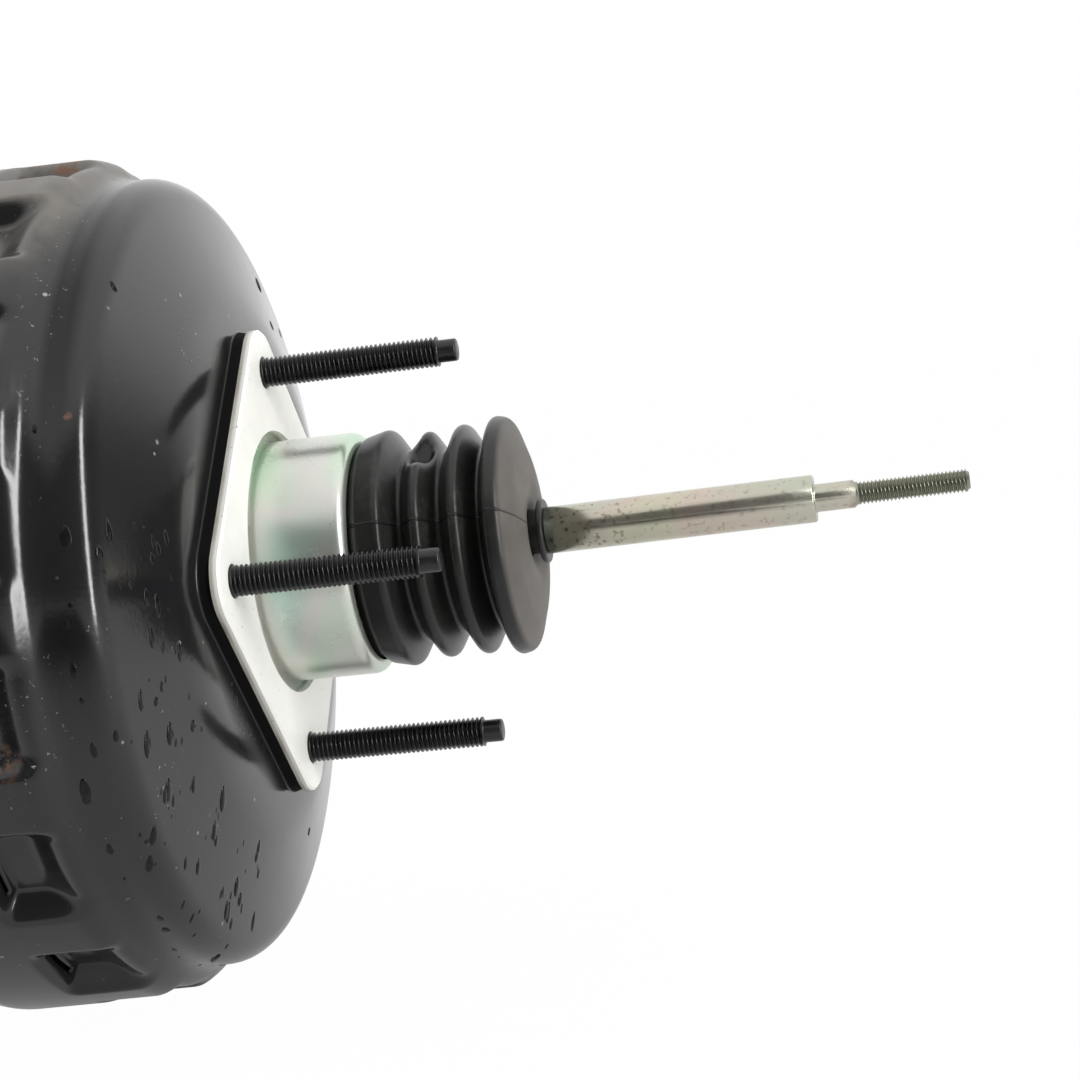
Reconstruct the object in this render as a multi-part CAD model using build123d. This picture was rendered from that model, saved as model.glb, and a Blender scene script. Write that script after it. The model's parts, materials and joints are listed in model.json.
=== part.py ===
"""Single-diaphragm vacuum brake booster, as an assembly of separate pieces.

The booster's axis is X. +X points rearwards, to the pedal, and +Z is up. The origin is on the axis, in
the rear face of the mounting plate, where the booster seats on the bulkhead. All sizes are millimetres.
Sections are drawn in the XY plane, with x along the axis and y as the radius, and turned about X.
"""
from build123d import *
from math import pi, radians, sqrt, tan
import os

# ---------------------------------------------------------------- fits
SLIDE_GAP = 0.06        # radial clearance of a running fit
SOFT_GAP = 0.3          # between a soft part and what holds it
SEAT_GAP = 0.1          # between rigid pieces that only rest on each other

# ---------------------------------------------------------------- mounting plate and its studs
STUD_SPACING = 72.0     # side of the square that the four studs stand on
STUD_R = 4.0            # M8
STUD_LENGTH = 53.0      # beyond the plate
STUD_SHANK_R = 4.3      # knurled shank, pressed into the sheet
STUD_CHAMFER = 0.7
DOG_R = 3.0             # plain point at the stud's end
DOG_LENGTH = 5.2
DOG_CHAMFER = 0.4
STUD_HEAD_R = 7.5
STUD_HEAD_T = 3.0
PLATE_T = 2.5
PLATE_MARGIN = 11.5     # plate beyond the stud's centre, also its corner radius
PLATE_HOLE_GAP = 3.0    # between the neck and the plate's hole
PLATE_EDGE = 0.6        # chamfer round the rear face

# ---------------------------------------------------------------- rear shell
SHEET = 1.8
WALL_R = 105.5          # cylindrical wall
SHOULDER_R = 8.4
FACE_DROP = 3.1         # pad's height over the flat ring round it
FACE_FLAT_R = 66.0      # where the conical face starts
FACE_SLOPE = 16.1       # degrees
FACE_ROUND = 60.0       # soft change from the flat ring to the cone
PAD_DRAFT = 18.0        # degrees
WALL_LENGTH = 12.5      # wall between its corner with the face and the ramp
RAMP_LENGTH = 6.5
RAMP_ROUND = 5.0
LUG_HEIGHT = 7.1        # raised lugs over the wall
SKIRT_LENGTH = 51.0
SKIRT_FLARE = 0.9       # how much wider the skirt's front end is
SKIRT_BEND_LENGTH = 8.0 # front part, bent inwards
SKIRT_BEND_DROP = 4.0
SKIRT_BEND_R = 14.0
SKIRT_CURL_R = 4.0      # rolled in over the front shell
LUGS = 16
POCKET_SETBACK = 2.5    # from the ramp to the pockets
POCKET_LENGTH = 16.5
POCKET_SHARE = 0.554    # of the lug spacing that a pocket takes, at the skirt's surface
POCKET_FLOOR_RISE = 0.7 # pocket's floor over the wall
POCKET_DRAFT = 20.0     # degrees
POCKET_CORNER = 4.0
SLIT_WIDTH = 2.0        # sheared slit at each pocket's front end
SLIT_SHARE = 0.7        # of the pocket's width
SLIT_EDGE = 1.1         # metal left over and under the slit
PAD_OVERHANG = 0.5      # pad beyond the plate, all round
REINFORCE_T = 2.0
REINFORCE_INSET = 2.0   # reinforcement inside the plate's outline
REINFORCE_HOLE_GAP = 2.9

# ---------------------------------------------------------------- neck
NECK_R = 32.3
NECK_WALL = 1.6
NECK_END_X = 24.3
NECK_CURL_R = 3.0       # rolled-in mouth
NECK_FLANGE_WIDTH = 7.7
NECK_FLANGE_T = 1.2
NECK_ROOT_R = 2.4
NECK_LIP = 1.8          # how far the rolled mouth reaches inwards
HUB_BUSH_LENGTH = 6.6
HUB_SEAL_LENGTH = 8.0
HUB_LIP_BACK = 1.5      # width of each flank of the seal's lip, and of its flat
HUB_LIP_HEIGHT = 3.5
HUB_SEAL_BACK = 6.0     # radial room behind the lip at the seal's rear end
SEAL_RETAINER_T = 1.6
SEAL_RETAINER_GAP = 1.0 # round the valve body's tail

# ---------------------------------------------------------------- dust boot
BOOT_T = 1.5
BOOT_CREST_R = 31.3
BOOT_VALLEY_R = 24.0
BOOT_CREST_ROUND = 2.2
BOOT_VALLEY_ROUND = 1.0
BOOT_MOUTH_GAP = 2.3    # between the sleeve's bore and the boot
BOOT_MOUTH_ROUND = 3.0
BOOT_FOLDS = 4
BOOT_FIRST_CREST = 7.0  # from the sleeve's mouth
BOOT_PITCH = 10.43
BOOT_DISC_DEPTH = 4.5   # from the last crest to the hub
BOOT_DISC_BULGE = 0.9   # how far the disc's middle stands behind its hub
BOOT_DISC_MIDDLE_R = 14.5
BOOT_DISC_EDGE_R = 24.0
BOOT_CUFF = 2.5         # length of the cuff on the collar
BOOT_ROOT = 6.3         # length inside the sleeve
BOOT_BEAD_LENGTH = 3.4

# ---------------------------------------------------------------- input rod
BALL_X = 8.5
BALL_R = 6.0
ROD_REST_TILT = 0.7     # degrees that the rod leans upwards at rest
ROD_NECK_R = 4.2
ROD_NECK_END_X = 30.0
ROD_CORE_R = 5.0        # through the filter and the boot's collar
ROD_R = 6.2             # shank
SHANK_LENGTH = 70.9
ROD_WAIST_R = 3.6
ROD_WAIST_LENGTH = 10.6
ROD_THREAD_R = 3.0      # M6
ROD_THREAD_LENGTH = 29.1
ROD_SHANK_CHAMFER = 0.6
ROD_END_CHAMFER = 0.8
ROD_FLANGE_X = 40.0
ROD_FLANGE_R = 9.4
ROD_FLANGE_T = 1.5
COLLAR_WALL = 0.8
COLLAR_LENGTH = 5.7
COLLAR_FLANGE = 2.7     # flange beyond the collar
COLLAR_SETBACK = 1.7    # from the boot's disc to the flange
COLLAR_FLANGE_T = 1.5
COLLAR_CHAMFER = 0.4

# ---------------------------------------------------------------- valve body and what it holds
TAIL_R = 20.0
TAIL_END_X = 56.0
TAIL_WALL = 2.8
PISTON_FRONT_X = -39.5
PISTON_HUB_R = 24.0
PISTON_FLANGE_X = -30.0
PISTON_FLANGE_T = 7.0
PISTON_FLANGE_R = 38.0
PLUNGER_R = 5.54
PLUNGER_NOSE_X = -25.2
PLUNGER_HEAD_X = 1.0
PLUNGER_HEAD_R = 10.4
PLUNGER_LIP_X = 13.5
LIP_WIDTH = 1.2         # flat of the plunger's seating lip
LIP_DEPTH = 1.5
KEY_X = -9.0
KEY_T = 3.0
KEY_WIDTH = 16.0
KEY_TOP_Z = 26.0
KEY_FOOT = 5.0          # how far the fork reaches past the plunger
KEY_CORNER = 2.0
KEY_PLAY = 0.2
KEY_GROOVE_R = 3.6
KEY_GROOVE_LENGTH = 5.3
AIR_HOLE_R = 2.2
AIR_HOLE_Y = 5.0
AIR_HOLE_Z = 8.5
HEAD_BORE_R = 11.5
HEAD_BORE_X = -1.0
SEAT_LIP_X = 13.0
SEAT_LIP_R = 13.2
POPPET_BORE_R = 16.0
POPPET_BORE_X = 11.5
POPPET_STEP_X = 27.0
POPPET_BORE = 7.6       # radius of the opening round the rod
POPPET_T = 2.5
POPPET_SLEEVE_R = 8.4
POPPET_SLEEVE_T = 1.4
POPPET_BEAD_X = 24.0
POPPET_SPRING_R = 12.0
POPPET_WIRE_R = 0.5
POPPET_TURNS = 3
ROD_SPRING_R = 8.3
ROD_WIRE_R = 0.7
ROD_TURNS = 4
RETAINER_BORE_R = 7.0
RETAINER_T = 1.5
REACTION_R = 12.4
REACTION_T = 6.0
REACTION_X = -27.5      # rear face of the reaction disc
VACUUM_HOLE_R = 1.6
VACUUM_HOLE_PITCH_R = 14.4
FILTER_BORE_R = 9.6
SILENCER_T = 4.0
FILTER_T = 7.0
FILTER_RETAINER_T = 2.0
FILTER_LAYER_GAP = 0.2

# ---------------------------------------------------------------- diaphragm and return spring
DIAPHRAGM_T = 1.6
BACKING_T = 1.5
BACKING_RIM_GAP = 12.9  # between the backing plate's rim and the front shell
BACKING_RIM_LENGTH = 14.0
BACKING_DISH = 8.0      # how far the outer part stands behind the hub part
BACKING_DISH_R = 44.0
BACKING_RISE_R = 58.0
FOLD_R = 4.0            # bends of the backing plate and the rubber
BEAD_LENGTH = 4.0
BEAD_INNER_GAP = 4.9    # bead inside the front shell's outside
BEAD_TAB_GAP = 1.2
BEAD_EDGE = 1.2         # straight part of the bead's outer edge
BEAD_CHAMFER = 3.1
ROLL_DEPTH = 16.0
RETURN_SPRING_R = 29.6
RETURN_WIRE_R = 1.7
RETURN_TURNS = 5

# ---------------------------------------------------------------- front shell and what it carries
FRONT_GAP = 0.5         # between the front shell and the pockets' floors
FRONT_FACE_X = -112.0
FRONT_FLAT_R = 56.0
FRONT_CORNER_DEPTH = 10.0
FRONT_SHOULDER_R = 9.0
FRONT_FACE_ROUND = 6.0
FRONT_HOLE_R = 20.0
TAB_GAP = 1.6           # between the tabs and the skirt
TAB_SPAN = 9.5          # degrees
RIM_STEP = 0.4
FRONT_REINFORCE_T = 3.0
FRONT_REINFORCE_R = 50.0
FRONT_SEAL_LENGTH = 5.5
FRONT_SEAL_WALL = 3.0
FRONT_LIP_R = 14.0      # where the lip leaves the seal's body
FRONT_LIP_T = 1.2
FRONT_RETAINER_T = 1.0
FRONT_RETAINER_BORE_R = 8.0
MC_STUD_SPACING = 80.0
MC_STUD_LENGTH = 22.0
MC_STUD_CHAMFER = 0.9
OUTPUT_R = 5.0
OUTPUT_HEAD_T = 4.0
OUTPUT_SETBACK = 4.0    # rod's end behind the front face
OUTPUT_CLIP_T = 1.5
TIP_R = 3.0
TIP_HEX = 10.0          # across flats
TIP_HEX_T = 5.0
TIP_ROUND = 1.5
TIP_REACH = 7.0         # nose beyond the front face

# ---------------------------------------------------------------- vacuum check valve
VALVE_Y = 42.0
VALVE_Z = 55.0
BOSS_HEIGHT = 1.0
BOSS_R = 15.0
GROMMET_HOLE_R = 10.0
GROMMET_R = 13.0
GROMMET_BORE_R = 6.5
GROMMET_LIP_T = 3.0
GROMMET_INNER_T = 2.5
CHAMBER_FLOOR_T = 2.0
CHAMBER_R = 9.0
CHAMBER_DEPTH = 11.0
CHAMBER_WALL = 1.8
STEM_WALL = 2.2
STEM_LENGTH = 6.0
VALVE_DISC_R = 7.2
VALVE_DISC_T = 1.4
VALVE_PIP_R = 2.0
VALVE_PIP_LENGTH = 2.5
VALVE_SPRING_R = 4.6
VALVE_WIRE_R = 0.4
VALVE_TURNS = 3
NIPPLE_R = 5.0
NIPPLE_BORE_R = 3.2
NIPPLE_LENGTH = 24.0
NIPPLE_ROOT_R = 7.0
NIPPLE_ROOT_LENGTH = 1.2
NIPPLE_CHAMFER = 0.6

# ---------------------------------------------------------------- worked-out places
STUD_CIRCLE_R = STUD_SPACING / sqrt(2)
PLATE_SIDE = STUD_SPACING + 2 * PLATE_MARGIN
PAD_X = -PLATE_T
FACE_X = PAD_X - FACE_DROP
NECK_BORE_R = NECK_R - NECK_WALL
NECK_FLANGE_R = NECK_R + NECK_FLANGE_WIDTH
PLATE_HOLE_R = NECK_R + PLATE_HOLE_GAP
REINFORCE_HOLE_R = NECK_FLANGE_R + REINFORCE_HOLE_GAP
FACE_CORNER_X = FACE_X - (WALL_R - FACE_FLAT_R) * tan(radians(FACE_SLOPE))
RAMP_START_X = FACE_CORNER_X - WALL_LENGTH
RAMP_END_X = RAMP_START_X - RAMP_LENGTH
SKIRT_R = WALL_R + LUG_HEIGHT
SKIRT_END_X = RAMP_END_X - SKIRT_LENGTH
POCKET_START_X = RAMP_END_X - POCKET_SETBACK
POCKET_END_X = POCKET_START_X - POCKET_LENGTH
POCKET_WIDTH = POCKET_SHARE * 2 * pi * SKIRT_R / LUGS
POCKET_FLOOR_R = WALL_R + POCKET_FLOOR_RISE
SLIT_SPAN = SLIT_SHARE * POCKET_WIDTH
SLIT_HEIGHT = SKIRT_R - POCKET_FLOOR_R - 2 * SLIT_EDGE
FRONT_R = POCKET_FLOOR_R - SHEET - FRONT_GAP
TAB_R = SKIRT_R - SHEET - TAB_GAP
RIM_X = RAMP_END_X
FRONT_CORNER_X = FRONT_FACE_X + FRONT_CORNER_DEPTH
BEAD_INNER_R = FRONT_R - BEAD_INNER_GAP
BEAD_OUTER_R = TAB_R - BEAD_TAB_GAP
BACKING_RIM_R = FRONT_R - BACKING_RIM_GAP
BOOT_MOUTH_R = NECK_BORE_R - BOOT_MOUTH_GAP
BOOT_BEAD_X = NECK_END_X - BOOT_ROOT
BOOT_FIRST_CREST_X = NECK_END_X + BOOT_FIRST_CREST
BOOT_LAST_CREST_X = BOOT_FIRST_CREST_X + (BOOT_FOLDS - 1) * BOOT_PITCH
BOOT_HUB_X = BOOT_LAST_CREST_X + BOOT_DISC_DEPTH
COLLAR_R = ROD_CORE_R + SEAT_GAP + COLLAR_WALL
COLLAR_FLANGE_R = COLLAR_R + COLLAR_FLANGE
COLLAR_FLANGE_X = BOOT_HUB_X + BOOT_DISC_BULGE + COLLAR_SETBACK
SHANK_START_X = COLLAR_FLANGE_X + COLLAR_FLANGE_T
SHANK_END_X = SHANK_START_X + SHANK_LENGTH
ROD_WAIST_END_X = SHANK_END_X + ROD_WAIST_LENGTH
ROD_END_X = ROD_WAIST_END_X + ROD_THREAD_LENGTH
TAIL_BORE_R = TAIL_R - TAIL_WALL
OUTPUT_END_X = FRONT_FACE_X + OUTPUT_SETBACK
TIP_END_X = FRONT_FACE_X - TIP_REACH
NECK_SEAT_X = PAD_X - NECK_FLANGE_T
SHELL_INNER_X = NECK_SEAT_X - SHEET
REINFORCE_X = PAD_X - SHEET
STUD_SEAT_X = REINFORCE_X - REINFORCE_T
FRONT_INNER_X = FRONT_FACE_X + SHEET
MC_SEAT_X = FRONT_INNER_X + FRONT_REINFORCE_T
BOSS_X = FRONT_FACE_X - BOSS_HEIGHT
VALVE_FLOOR_X = BOSS_X - GROMMET_LIP_T - CHAMBER_FLOOR_T
CHAMBER_END_X = VALVE_FLOOR_X - CHAMBER_DEPTH
VALVE_PLACE = Pos(0, VALVE_Y, VALVE_Z)
SILENCER_X = ROD_FLANGE_X + ROD_FLANGE_T + 0.7
FILTER_X = SILENCER_X + SILENCER_T + FILTER_LAYER_GAP
ROD_TILT = Pos(BALL_X, 0, 0) * Rot(0, -ROD_REST_TILT, 0) * Pos(-BALL_X, 0, 0)
REAR_LINE = [
    (FACE_X, NECK_BORE_R),
    (FACE_X, FACE_FLAT_R),
    (FACE_CORNER_X, WALL_R),
    (RAMP_START_X, WALL_R),
    (RAMP_END_X, SKIRT_R),
    (SKIRT_END_X + SKIRT_BEND_LENGTH, SKIRT_R + SKIRT_FLARE),
    (SKIRT_END_X, SKIRT_R + SKIRT_FLARE - SKIRT_BEND_DROP),
    (SKIRT_END_X, FRONT_R + SEAT_GAP),
]
REAR_RADII = [FACE_ROUND, SHOULDER_R, RAMP_ROUND, RAMP_ROUND, SKIRT_BEND_R, SKIRT_CURL_R]


# ---------------------------------------------------------------- helpers
def turn(face):
    """Revolve a section in the XY plane about the booster's axis."""
    return revolve(face, Axis.X, 360)


def ring(x0, x1, r_in, r_out):
    """A plain ring, or a disc where r_in is 0."""
    body = cylinder(x0, x1, r_out)
    if r_in > 0:
        body -= cylinder(x0, x1, r_in)
    return body


def cylinder(x0, x1, r):
    """A cylinder along the axis, from x0 to x1."""
    return Pos((x0 + x1) / 2, 0, 0) * Rot(0, 90, 0) * Cylinder(r, abs(x1 - x0))


def section(*points):
    """A closed straight-sided section from its corners."""
    return make_face(Polyline(*points, close=True))


def beside(points, gap):
    """Corners of the line that runs at an even gap to the right of a bent line."""
    corners = [Vector(*point) for point in points]
    runs = [(b - a).normalized() for a, b in zip(corners, corners[1:])]
    normals = [Vector(run.Y, -run.X) for run in runs]
    moved = []
    for corner, one, other in zip(corners, [normals[0]] + normals, normals + [normals[-1]]):
        moved.append(corner + (one + other) * (gap / (1 + one.dot(other))))
    return [(point.X, point.Y) for point in moved]


def beside_radii(points, radii, gap):
    """Corner radii of that line: smaller in right turns and larger in left turns."""
    corners = [Vector(*point) for point in points]
    runs = [b - a for a, b in zip(corners, corners[1:])]
    turns = [one.cross(other).Z for one, other in zip(runs, runs[1:])]
    return [max(r + gap if turned > 0 else r - gap, 0.2) for r, turned in zip(radii, turns)]


def sheet_section(points, radii, thickness):
    """A section of even thickness to the right of a bent line, or to its left where it is negative."""
    line = FilletPolyline(*points, radius=radii)
    other = FilletPolyline(*beside(points, thickness), radius=beside_radii(points, radii, thickness))
    return make_face(line + other + Line(line @ 0, other @ 0) + Line(line @ 1, other @ 1))


def square_block(side, x0, x1, corner, draft=0.0):
    """A rounded square with its corners up, down and to the sides, narrowing from x0 to x1."""
    outline = Plane.YZ.offset(x0) * Rot(0, 0, 45) * RectangleRounded(side, side, corner)
    return extrude(outline, amount=x1 - x0, taper=draft)


def stud_places(x):
    """The four studs' places: above, below and to both sides of the axis."""
    spots = ((0, 1), (-1, 0), (0, -1), (1, 0))
    return [Pos(x, STUD_CIRCLE_R * y, STUD_CIRCLE_R * z) for y, z in spots]


def around(count, first=0.0):
    """Rotations that spread copies evenly round the axis, from the +Z side."""
    return [Rot(first + k * 360 / count, 0, 0) for k in range(count)]


def coil(x0, x1, r, wire_r, turns):
    """A coil spring along the axis between two planes, x0 in front of x1."""
    height = x1 - x0 - 2 * wire_r
    path = Helix(pitch=height / turns, height=height, radius=r)
    wire = Plane(origin=path @ 0, z_dir=path % 0) * Circle(wire_r)
    return Pos(x0 + wire_r, 0, 0) * Rot(0, 90, 0) * sweep(wire, path=path)


def round_corners(face, *corners):
    """Round the section's corners, each given as x, radius from the axis, and fillet radius."""
    for x, y, radius in corners:
        corner = face.vertices().sort_by_distance((x, y, 0))[0]
        face = fillet(corner, radius)
    return face


# ---------------------------------------------------------------- rear shell
def pocket_block(wall):
    """The hollow of the pocket at the top, grown by the wall round it."""
    mouth_r = SKIRT_R + SHEET
    spread = 2 * (mouth_r - SKIRT_R) * tan(radians(POCKET_DRAFT))
    length = POCKET_START_X - POCKET_END_X + 2 * wall + spread
    width = POCKET_WIDTH + 2 * wall + spread
    middle_x = (POCKET_START_X + POCKET_END_X) / 2
    mouth = Plane(origin=(middle_x, 0, mouth_r), x_dir=(1, 0, 0), z_dir=(0, 0, -1))
    outline = chamfer(Rectangle(length, width).vertices(), POCKET_CORNER)
    return extrude(mouth * outline, amount=mouth_r - POCKET_FLOOR_R + wall, taper=POCKET_DRAFT)


def pad_block(x_top, wall):
    """The raised pad under the mounting plate, up to x_top and less the wall."""
    base_x = FACE_X - SHEET
    spread = (PAD_X - base_x) * tan(radians(PAD_DRAFT))
    side = PLATE_SIDE + 2 * (PAD_OVERHANG - wall + spread)
    return square_block(side, base_x, x_top, PLATE_MARGIN + spread, PAD_DRAFT)


def rear_shell():
    shell = turn(sheet_section(REAR_LINE, REAR_RADII, -SHEET))
    outline = FilletPolyline(*REAR_LINE, radius=REAR_RADII)
    back = Polyline(outline @ 1, (SKIRT_END_X, 0), (FACE_X, 0), outline @ 0)
    envelope = turn(make_face(outline + back))
    grown = pocket_block(SHEET)
    cup = (grown - pocket_block(0)) & envelope
    slit_x = POCKET_END_X + SLIT_WIDTH / 2
    slit = Pos(slit_x, 0, (SKIRT_R + POCKET_FLOOR_R) / 2) * Box(SLIT_WIDTH, SLIT_SPAN, SLIT_HEIGHT)
    places = around(LUGS, 180 / LUGS)
    shell -= [place * grown for place in places]
    shell += [place * cup for place in places]
    shell -= [place * slit for place in places]
    shell -= pad_block(PAD_X, 0)
    shell += pad_block(PAD_X, 0) - pad_block(PAD_X - SHEET, SHEET)
    shell += ring(SHELL_INNER_X, NECK_SEAT_X, NECK_BORE_R, NECK_FLANGE_R + SHEET)
    shell -= cylinder(NECK_SEAT_X, PAD_X, NECK_FLANGE_R + SEAT_GAP)
    shell -= cylinder(SHELL_INNER_X, PAD_X, NECK_BORE_R + SEAT_GAP)
    shell -= stud_holes()
    return shell


def stud_holes():
    """Clearance holes for the four studs, through whatever lies behind the plate."""
    hole = cylinder(STUD_SEAT_X - SHEET, PLATE_T, STUD_SHANK_R + SEAT_GAP)
    return [place * hole for place in stud_places(0)]


def mounting_plate():
    plate = square_block(PLATE_SIDE, -PLATE_T, 0, PLATE_MARGIN)
    plate = chamfer(plate.faces().sort_by(Axis.X)[-1].edges(), PLATE_EDGE)
    return plate - cylinder(-PLATE_T, 0, PLATE_HOLE_R) - stud_holes()


def rear_reinforcement():
    side = PLATE_SIDE - 2 * REINFORCE_INSET
    plate = square_block(side, STUD_SEAT_X, REINFORCE_X, PLATE_MARGIN - REINFORCE_INSET)
    return plate - cylinder(STUD_SEAT_X, REINFORCE_X, REINFORCE_HOLE_R) - stud_holes()


def mounting_studs():
    """Four pressed-in studs with round heads inside the shell and plain points outside."""
    stud = cylinder(STUD_SEAT_X - STUD_HEAD_T, STUD_SEAT_X, STUD_HEAD_R)
    stud += cylinder(STUD_SEAT_X, 0, STUD_SHANK_R)
    thread = cylinder(0, STUD_LENGTH - DOG_LENGTH, STUD_R)
    thread = chamfer(thread.edges().group_by(Axis.X)[-1], STUD_CHAMFER)
    point = cylinder(STUD_LENGTH - DOG_LENGTH, STUD_LENGTH, DOG_R)
    point = chamfer(point.edges().group_by(Axis.X)[-1], DOG_CHAMFER)
    stud += thread
    stud += point
    return Compound([place * stud for place in stud_places(0)])


# ---------------------------------------------------------------- neck
def neck_sleeve():
    inner_x = NECK_END_X - NECK_WALL
    lip_r = NECK_BORE_R - NECK_LIP
    face = section(
        (NECK_SEAT_X, NECK_BORE_R),
        (NECK_SEAT_X, NECK_FLANGE_R),
        (PAD_X, NECK_FLANGE_R),
        (PAD_X, NECK_R),
        (NECK_END_X, NECK_R),
        (NECK_END_X, lip_r),
        (inner_x, lip_r),
        (inner_x, NECK_BORE_R),
    )
    face = round_corners(
        face,
        (PAD_X, NECK_R, NECK_ROOT_R),
        (NECK_END_X, NECK_R, NECK_CURL_R),
        (inner_x, NECK_BORE_R, NECK_CURL_R - NECK_WALL),
    )
    return turn(face)


def hub_bush():
    end_x = SHELL_INNER_X + HUB_BUSH_LENGTH
    return ring(SHELL_INNER_X, end_x, TAIL_R + SLIDE_GAP, NECK_BORE_R - SEAT_GAP)


def hub_seal():
    x0 = SHELL_INNER_X + HUB_BUSH_LENGTH + SOFT_GAP
    x1 = x0 + HUB_SEAL_LENGTH
    outer_r = NECK_BORE_R - SOFT_GAP
    lip_r = TAIL_R + SOFT_GAP
    root_r = lip_r + HUB_LIP_HEIGHT
    face = section(
        (x0, outer_r),
        (x0, root_r),
        (x0 + HUB_LIP_BACK, lip_r),
        (x0 + 2 * HUB_LIP_BACK, lip_r),
        (x0 + 3 * HUB_LIP_BACK, root_r),
        (x1 - HUB_LIP_BACK, root_r),
        (x1, lip_r + HUB_SEAL_BACK),
        (x1, outer_r),
    )
    return turn(face)


def seal_retainer():
    x0 = SHELL_INNER_X + HUB_BUSH_LENGTH + HUB_SEAL_LENGTH + 2 * SOFT_GAP
    return ring(x0, x0 + SEAL_RETAINER_T, TAIL_R + SEAL_RETAINER_GAP, NECK_BORE_R - SEAT_GAP)


def dust_boot():
    """Bellows boot: bead in the sleeve's mouth, four folds and a dished disc that grips the collar."""
    crest_r = BOOT_CREST_R + 0.66 * BOOT_CREST_ROUND
    valley_r = BOOT_VALLEY_R - 0.66 * BOOT_VALLEY_ROUND
    hub_r = COLLAR_R + SEAT_GAP
    points = [(BOOT_BEAD_X, BOOT_MOUTH_R), (NECK_END_X + 1, BOOT_MOUTH_R)]
    radii = [BOOT_MOUTH_ROUND]
    for k in range(BOOT_FOLDS):
        crest_x = BOOT_FIRST_CREST_X + k * BOOT_PITCH
        points.append((crest_x, crest_r))
        radii.append(BOOT_CREST_ROUND)
        if k < BOOT_FOLDS - 1:
            points.append((crest_x + BOOT_PITCH / 2, valley_r))
            radii.append(BOOT_VALLEY_ROUND)
    points += [
        (BOOT_HUB_X - BOOT_DISC_BULGE, BOOT_DISC_EDGE_R),
        (BOOT_HUB_X + BOOT_DISC_BULGE, BOOT_DISC_MIDDLE_R),
        (BOOT_HUB_X, hub_r),
    ]
    radii += [BOOT_DISC_EDGE_R / 2, BOOT_DISC_MIDDLE_R / 2]
    boot = turn(sheet_section(points, radii, BOOT_T))
    bead_end_x = BOOT_BEAD_X + BOOT_BEAD_LENGTH
    boot += ring(BOOT_BEAD_X, bead_end_x, BOOT_MOUTH_R - BOOT_T, NECK_BORE_R - SOFT_GAP)
    cuff_end_x = BOOT_HUB_X - BOOT_T / 2
    boot += ring(cuff_end_x - BOOT_CUFF, cuff_end_x, hub_r, hub_r + BOOT_T)
    return ROD_TILT * boot


# ---------------------------------------------------------------- input rod
def input_rod():
    """Forged rod: ball, neck, spring flange, core, shank, waist and threaded end."""
    rod = Pos(BALL_X, 0, 0) * Sphere(BALL_R)
    rod += cylinder(BALL_X, ROD_NECK_END_X, ROD_NECK_R)
    rod += cylinder(ROD_NECK_END_X, SHANK_START_X, ROD_CORE_R)
    rod += cylinder(ROD_FLANGE_X, ROD_FLANGE_X + ROD_FLANGE_T, ROD_FLANGE_R)
    shank = cylinder(SHANK_START_X, SHANK_END_X, ROD_R)
    rod += chamfer(shank.edges().group_by(Axis.X)[-1], ROD_SHANK_CHAMFER)
    rod += cylinder(SHANK_END_X, ROD_WAIST_END_X, ROD_WAIST_R)
    thread = cylinder(ROD_WAIST_END_X, ROD_END_X, ROD_THREAD_R)
    rod += chamfer(thread.edges().group_by(Axis.X)[-1], ROD_END_CHAMFER)
    return ROD_TILT * rod


def boot_collar():
    bore_r = ROD_CORE_R + SEAT_GAP
    collar = ring(COLLAR_FLANGE_X - COLLAR_LENGTH, COLLAR_FLANGE_X, bore_r, COLLAR_R)
    flange = ring(COLLAR_FLANGE_X, SHANK_START_X, bore_r, COLLAR_FLANGE_R)
    rims = [edge for edge in flange.edges().filter_by(GeomType.CIRCLE) if edge.radius > COLLAR_R]
    collar += chamfer(rims, COLLAR_CHAMFER)
    return ROD_TILT * collar


# ---------------------------------------------------------------- valve body and what it holds
def valve_body():
    """Moulded power piston with the plunger bore, reaction bore, valve seat and tail tube."""
    flange_end_x = PISTON_FLANGE_X + PISTON_FLANGE_T
    body = cylinder(PISTON_FRONT_X, flange_end_x, PISTON_HUB_R)
    body += cylinder(PISTON_FLANGE_X, flange_end_x, PISTON_FLANGE_R)
    body += cylinder(flange_end_x, TAIL_END_X, TAIL_R)
    body -= cylinder(PISTON_FRONT_X, REACTION_X, REACTION_R + SEAT_GAP)
    body -= cylinder(REACTION_X, HEAD_BORE_X, PLUNGER_R + SLIDE_GAP)
    body -= cylinder(HEAD_BORE_X, SEAT_LIP_X, HEAD_BORE_R)
    body -= ring(POPPET_BORE_X, SEAT_LIP_X, SEAT_LIP_R, POPPET_BORE_R)
    body -= cylinder(SEAT_LIP_X, POPPET_STEP_X, POPPET_BORE_R)
    body -= cylinder(POPPET_STEP_X, TAIL_END_X, TAIL_BORE_R)
    slot_x = KEY_X + KEY_T / 2
    slot_bottom = -KEY_GROOVE_R - KEY_FOOT - SOFT_GAP
    slot_height = 2 * TAIL_R
    slot = Box(KEY_T + 2 * SEAT_GAP, KEY_WIDTH + 2 * SEAT_GAP, slot_height)
    body -= Pos(slot_x, 0, slot_bottom + slot_height / 2) * slot
    for side in (-1, 1):
        body -= Pos(0, side * AIR_HOLE_Y, AIR_HOLE_Z) * cylinder(slot_x, HEAD_BORE_X, AIR_HOLE_R)
    for side in (-1, 1):
        hole = cylinder(PISTON_FRONT_X, POPPET_BORE_X, VACUUM_HOLE_R)
        body -= Pos(0, side * VACUUM_HOLE_PITCH_R, 0) * hole
    return body


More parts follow.
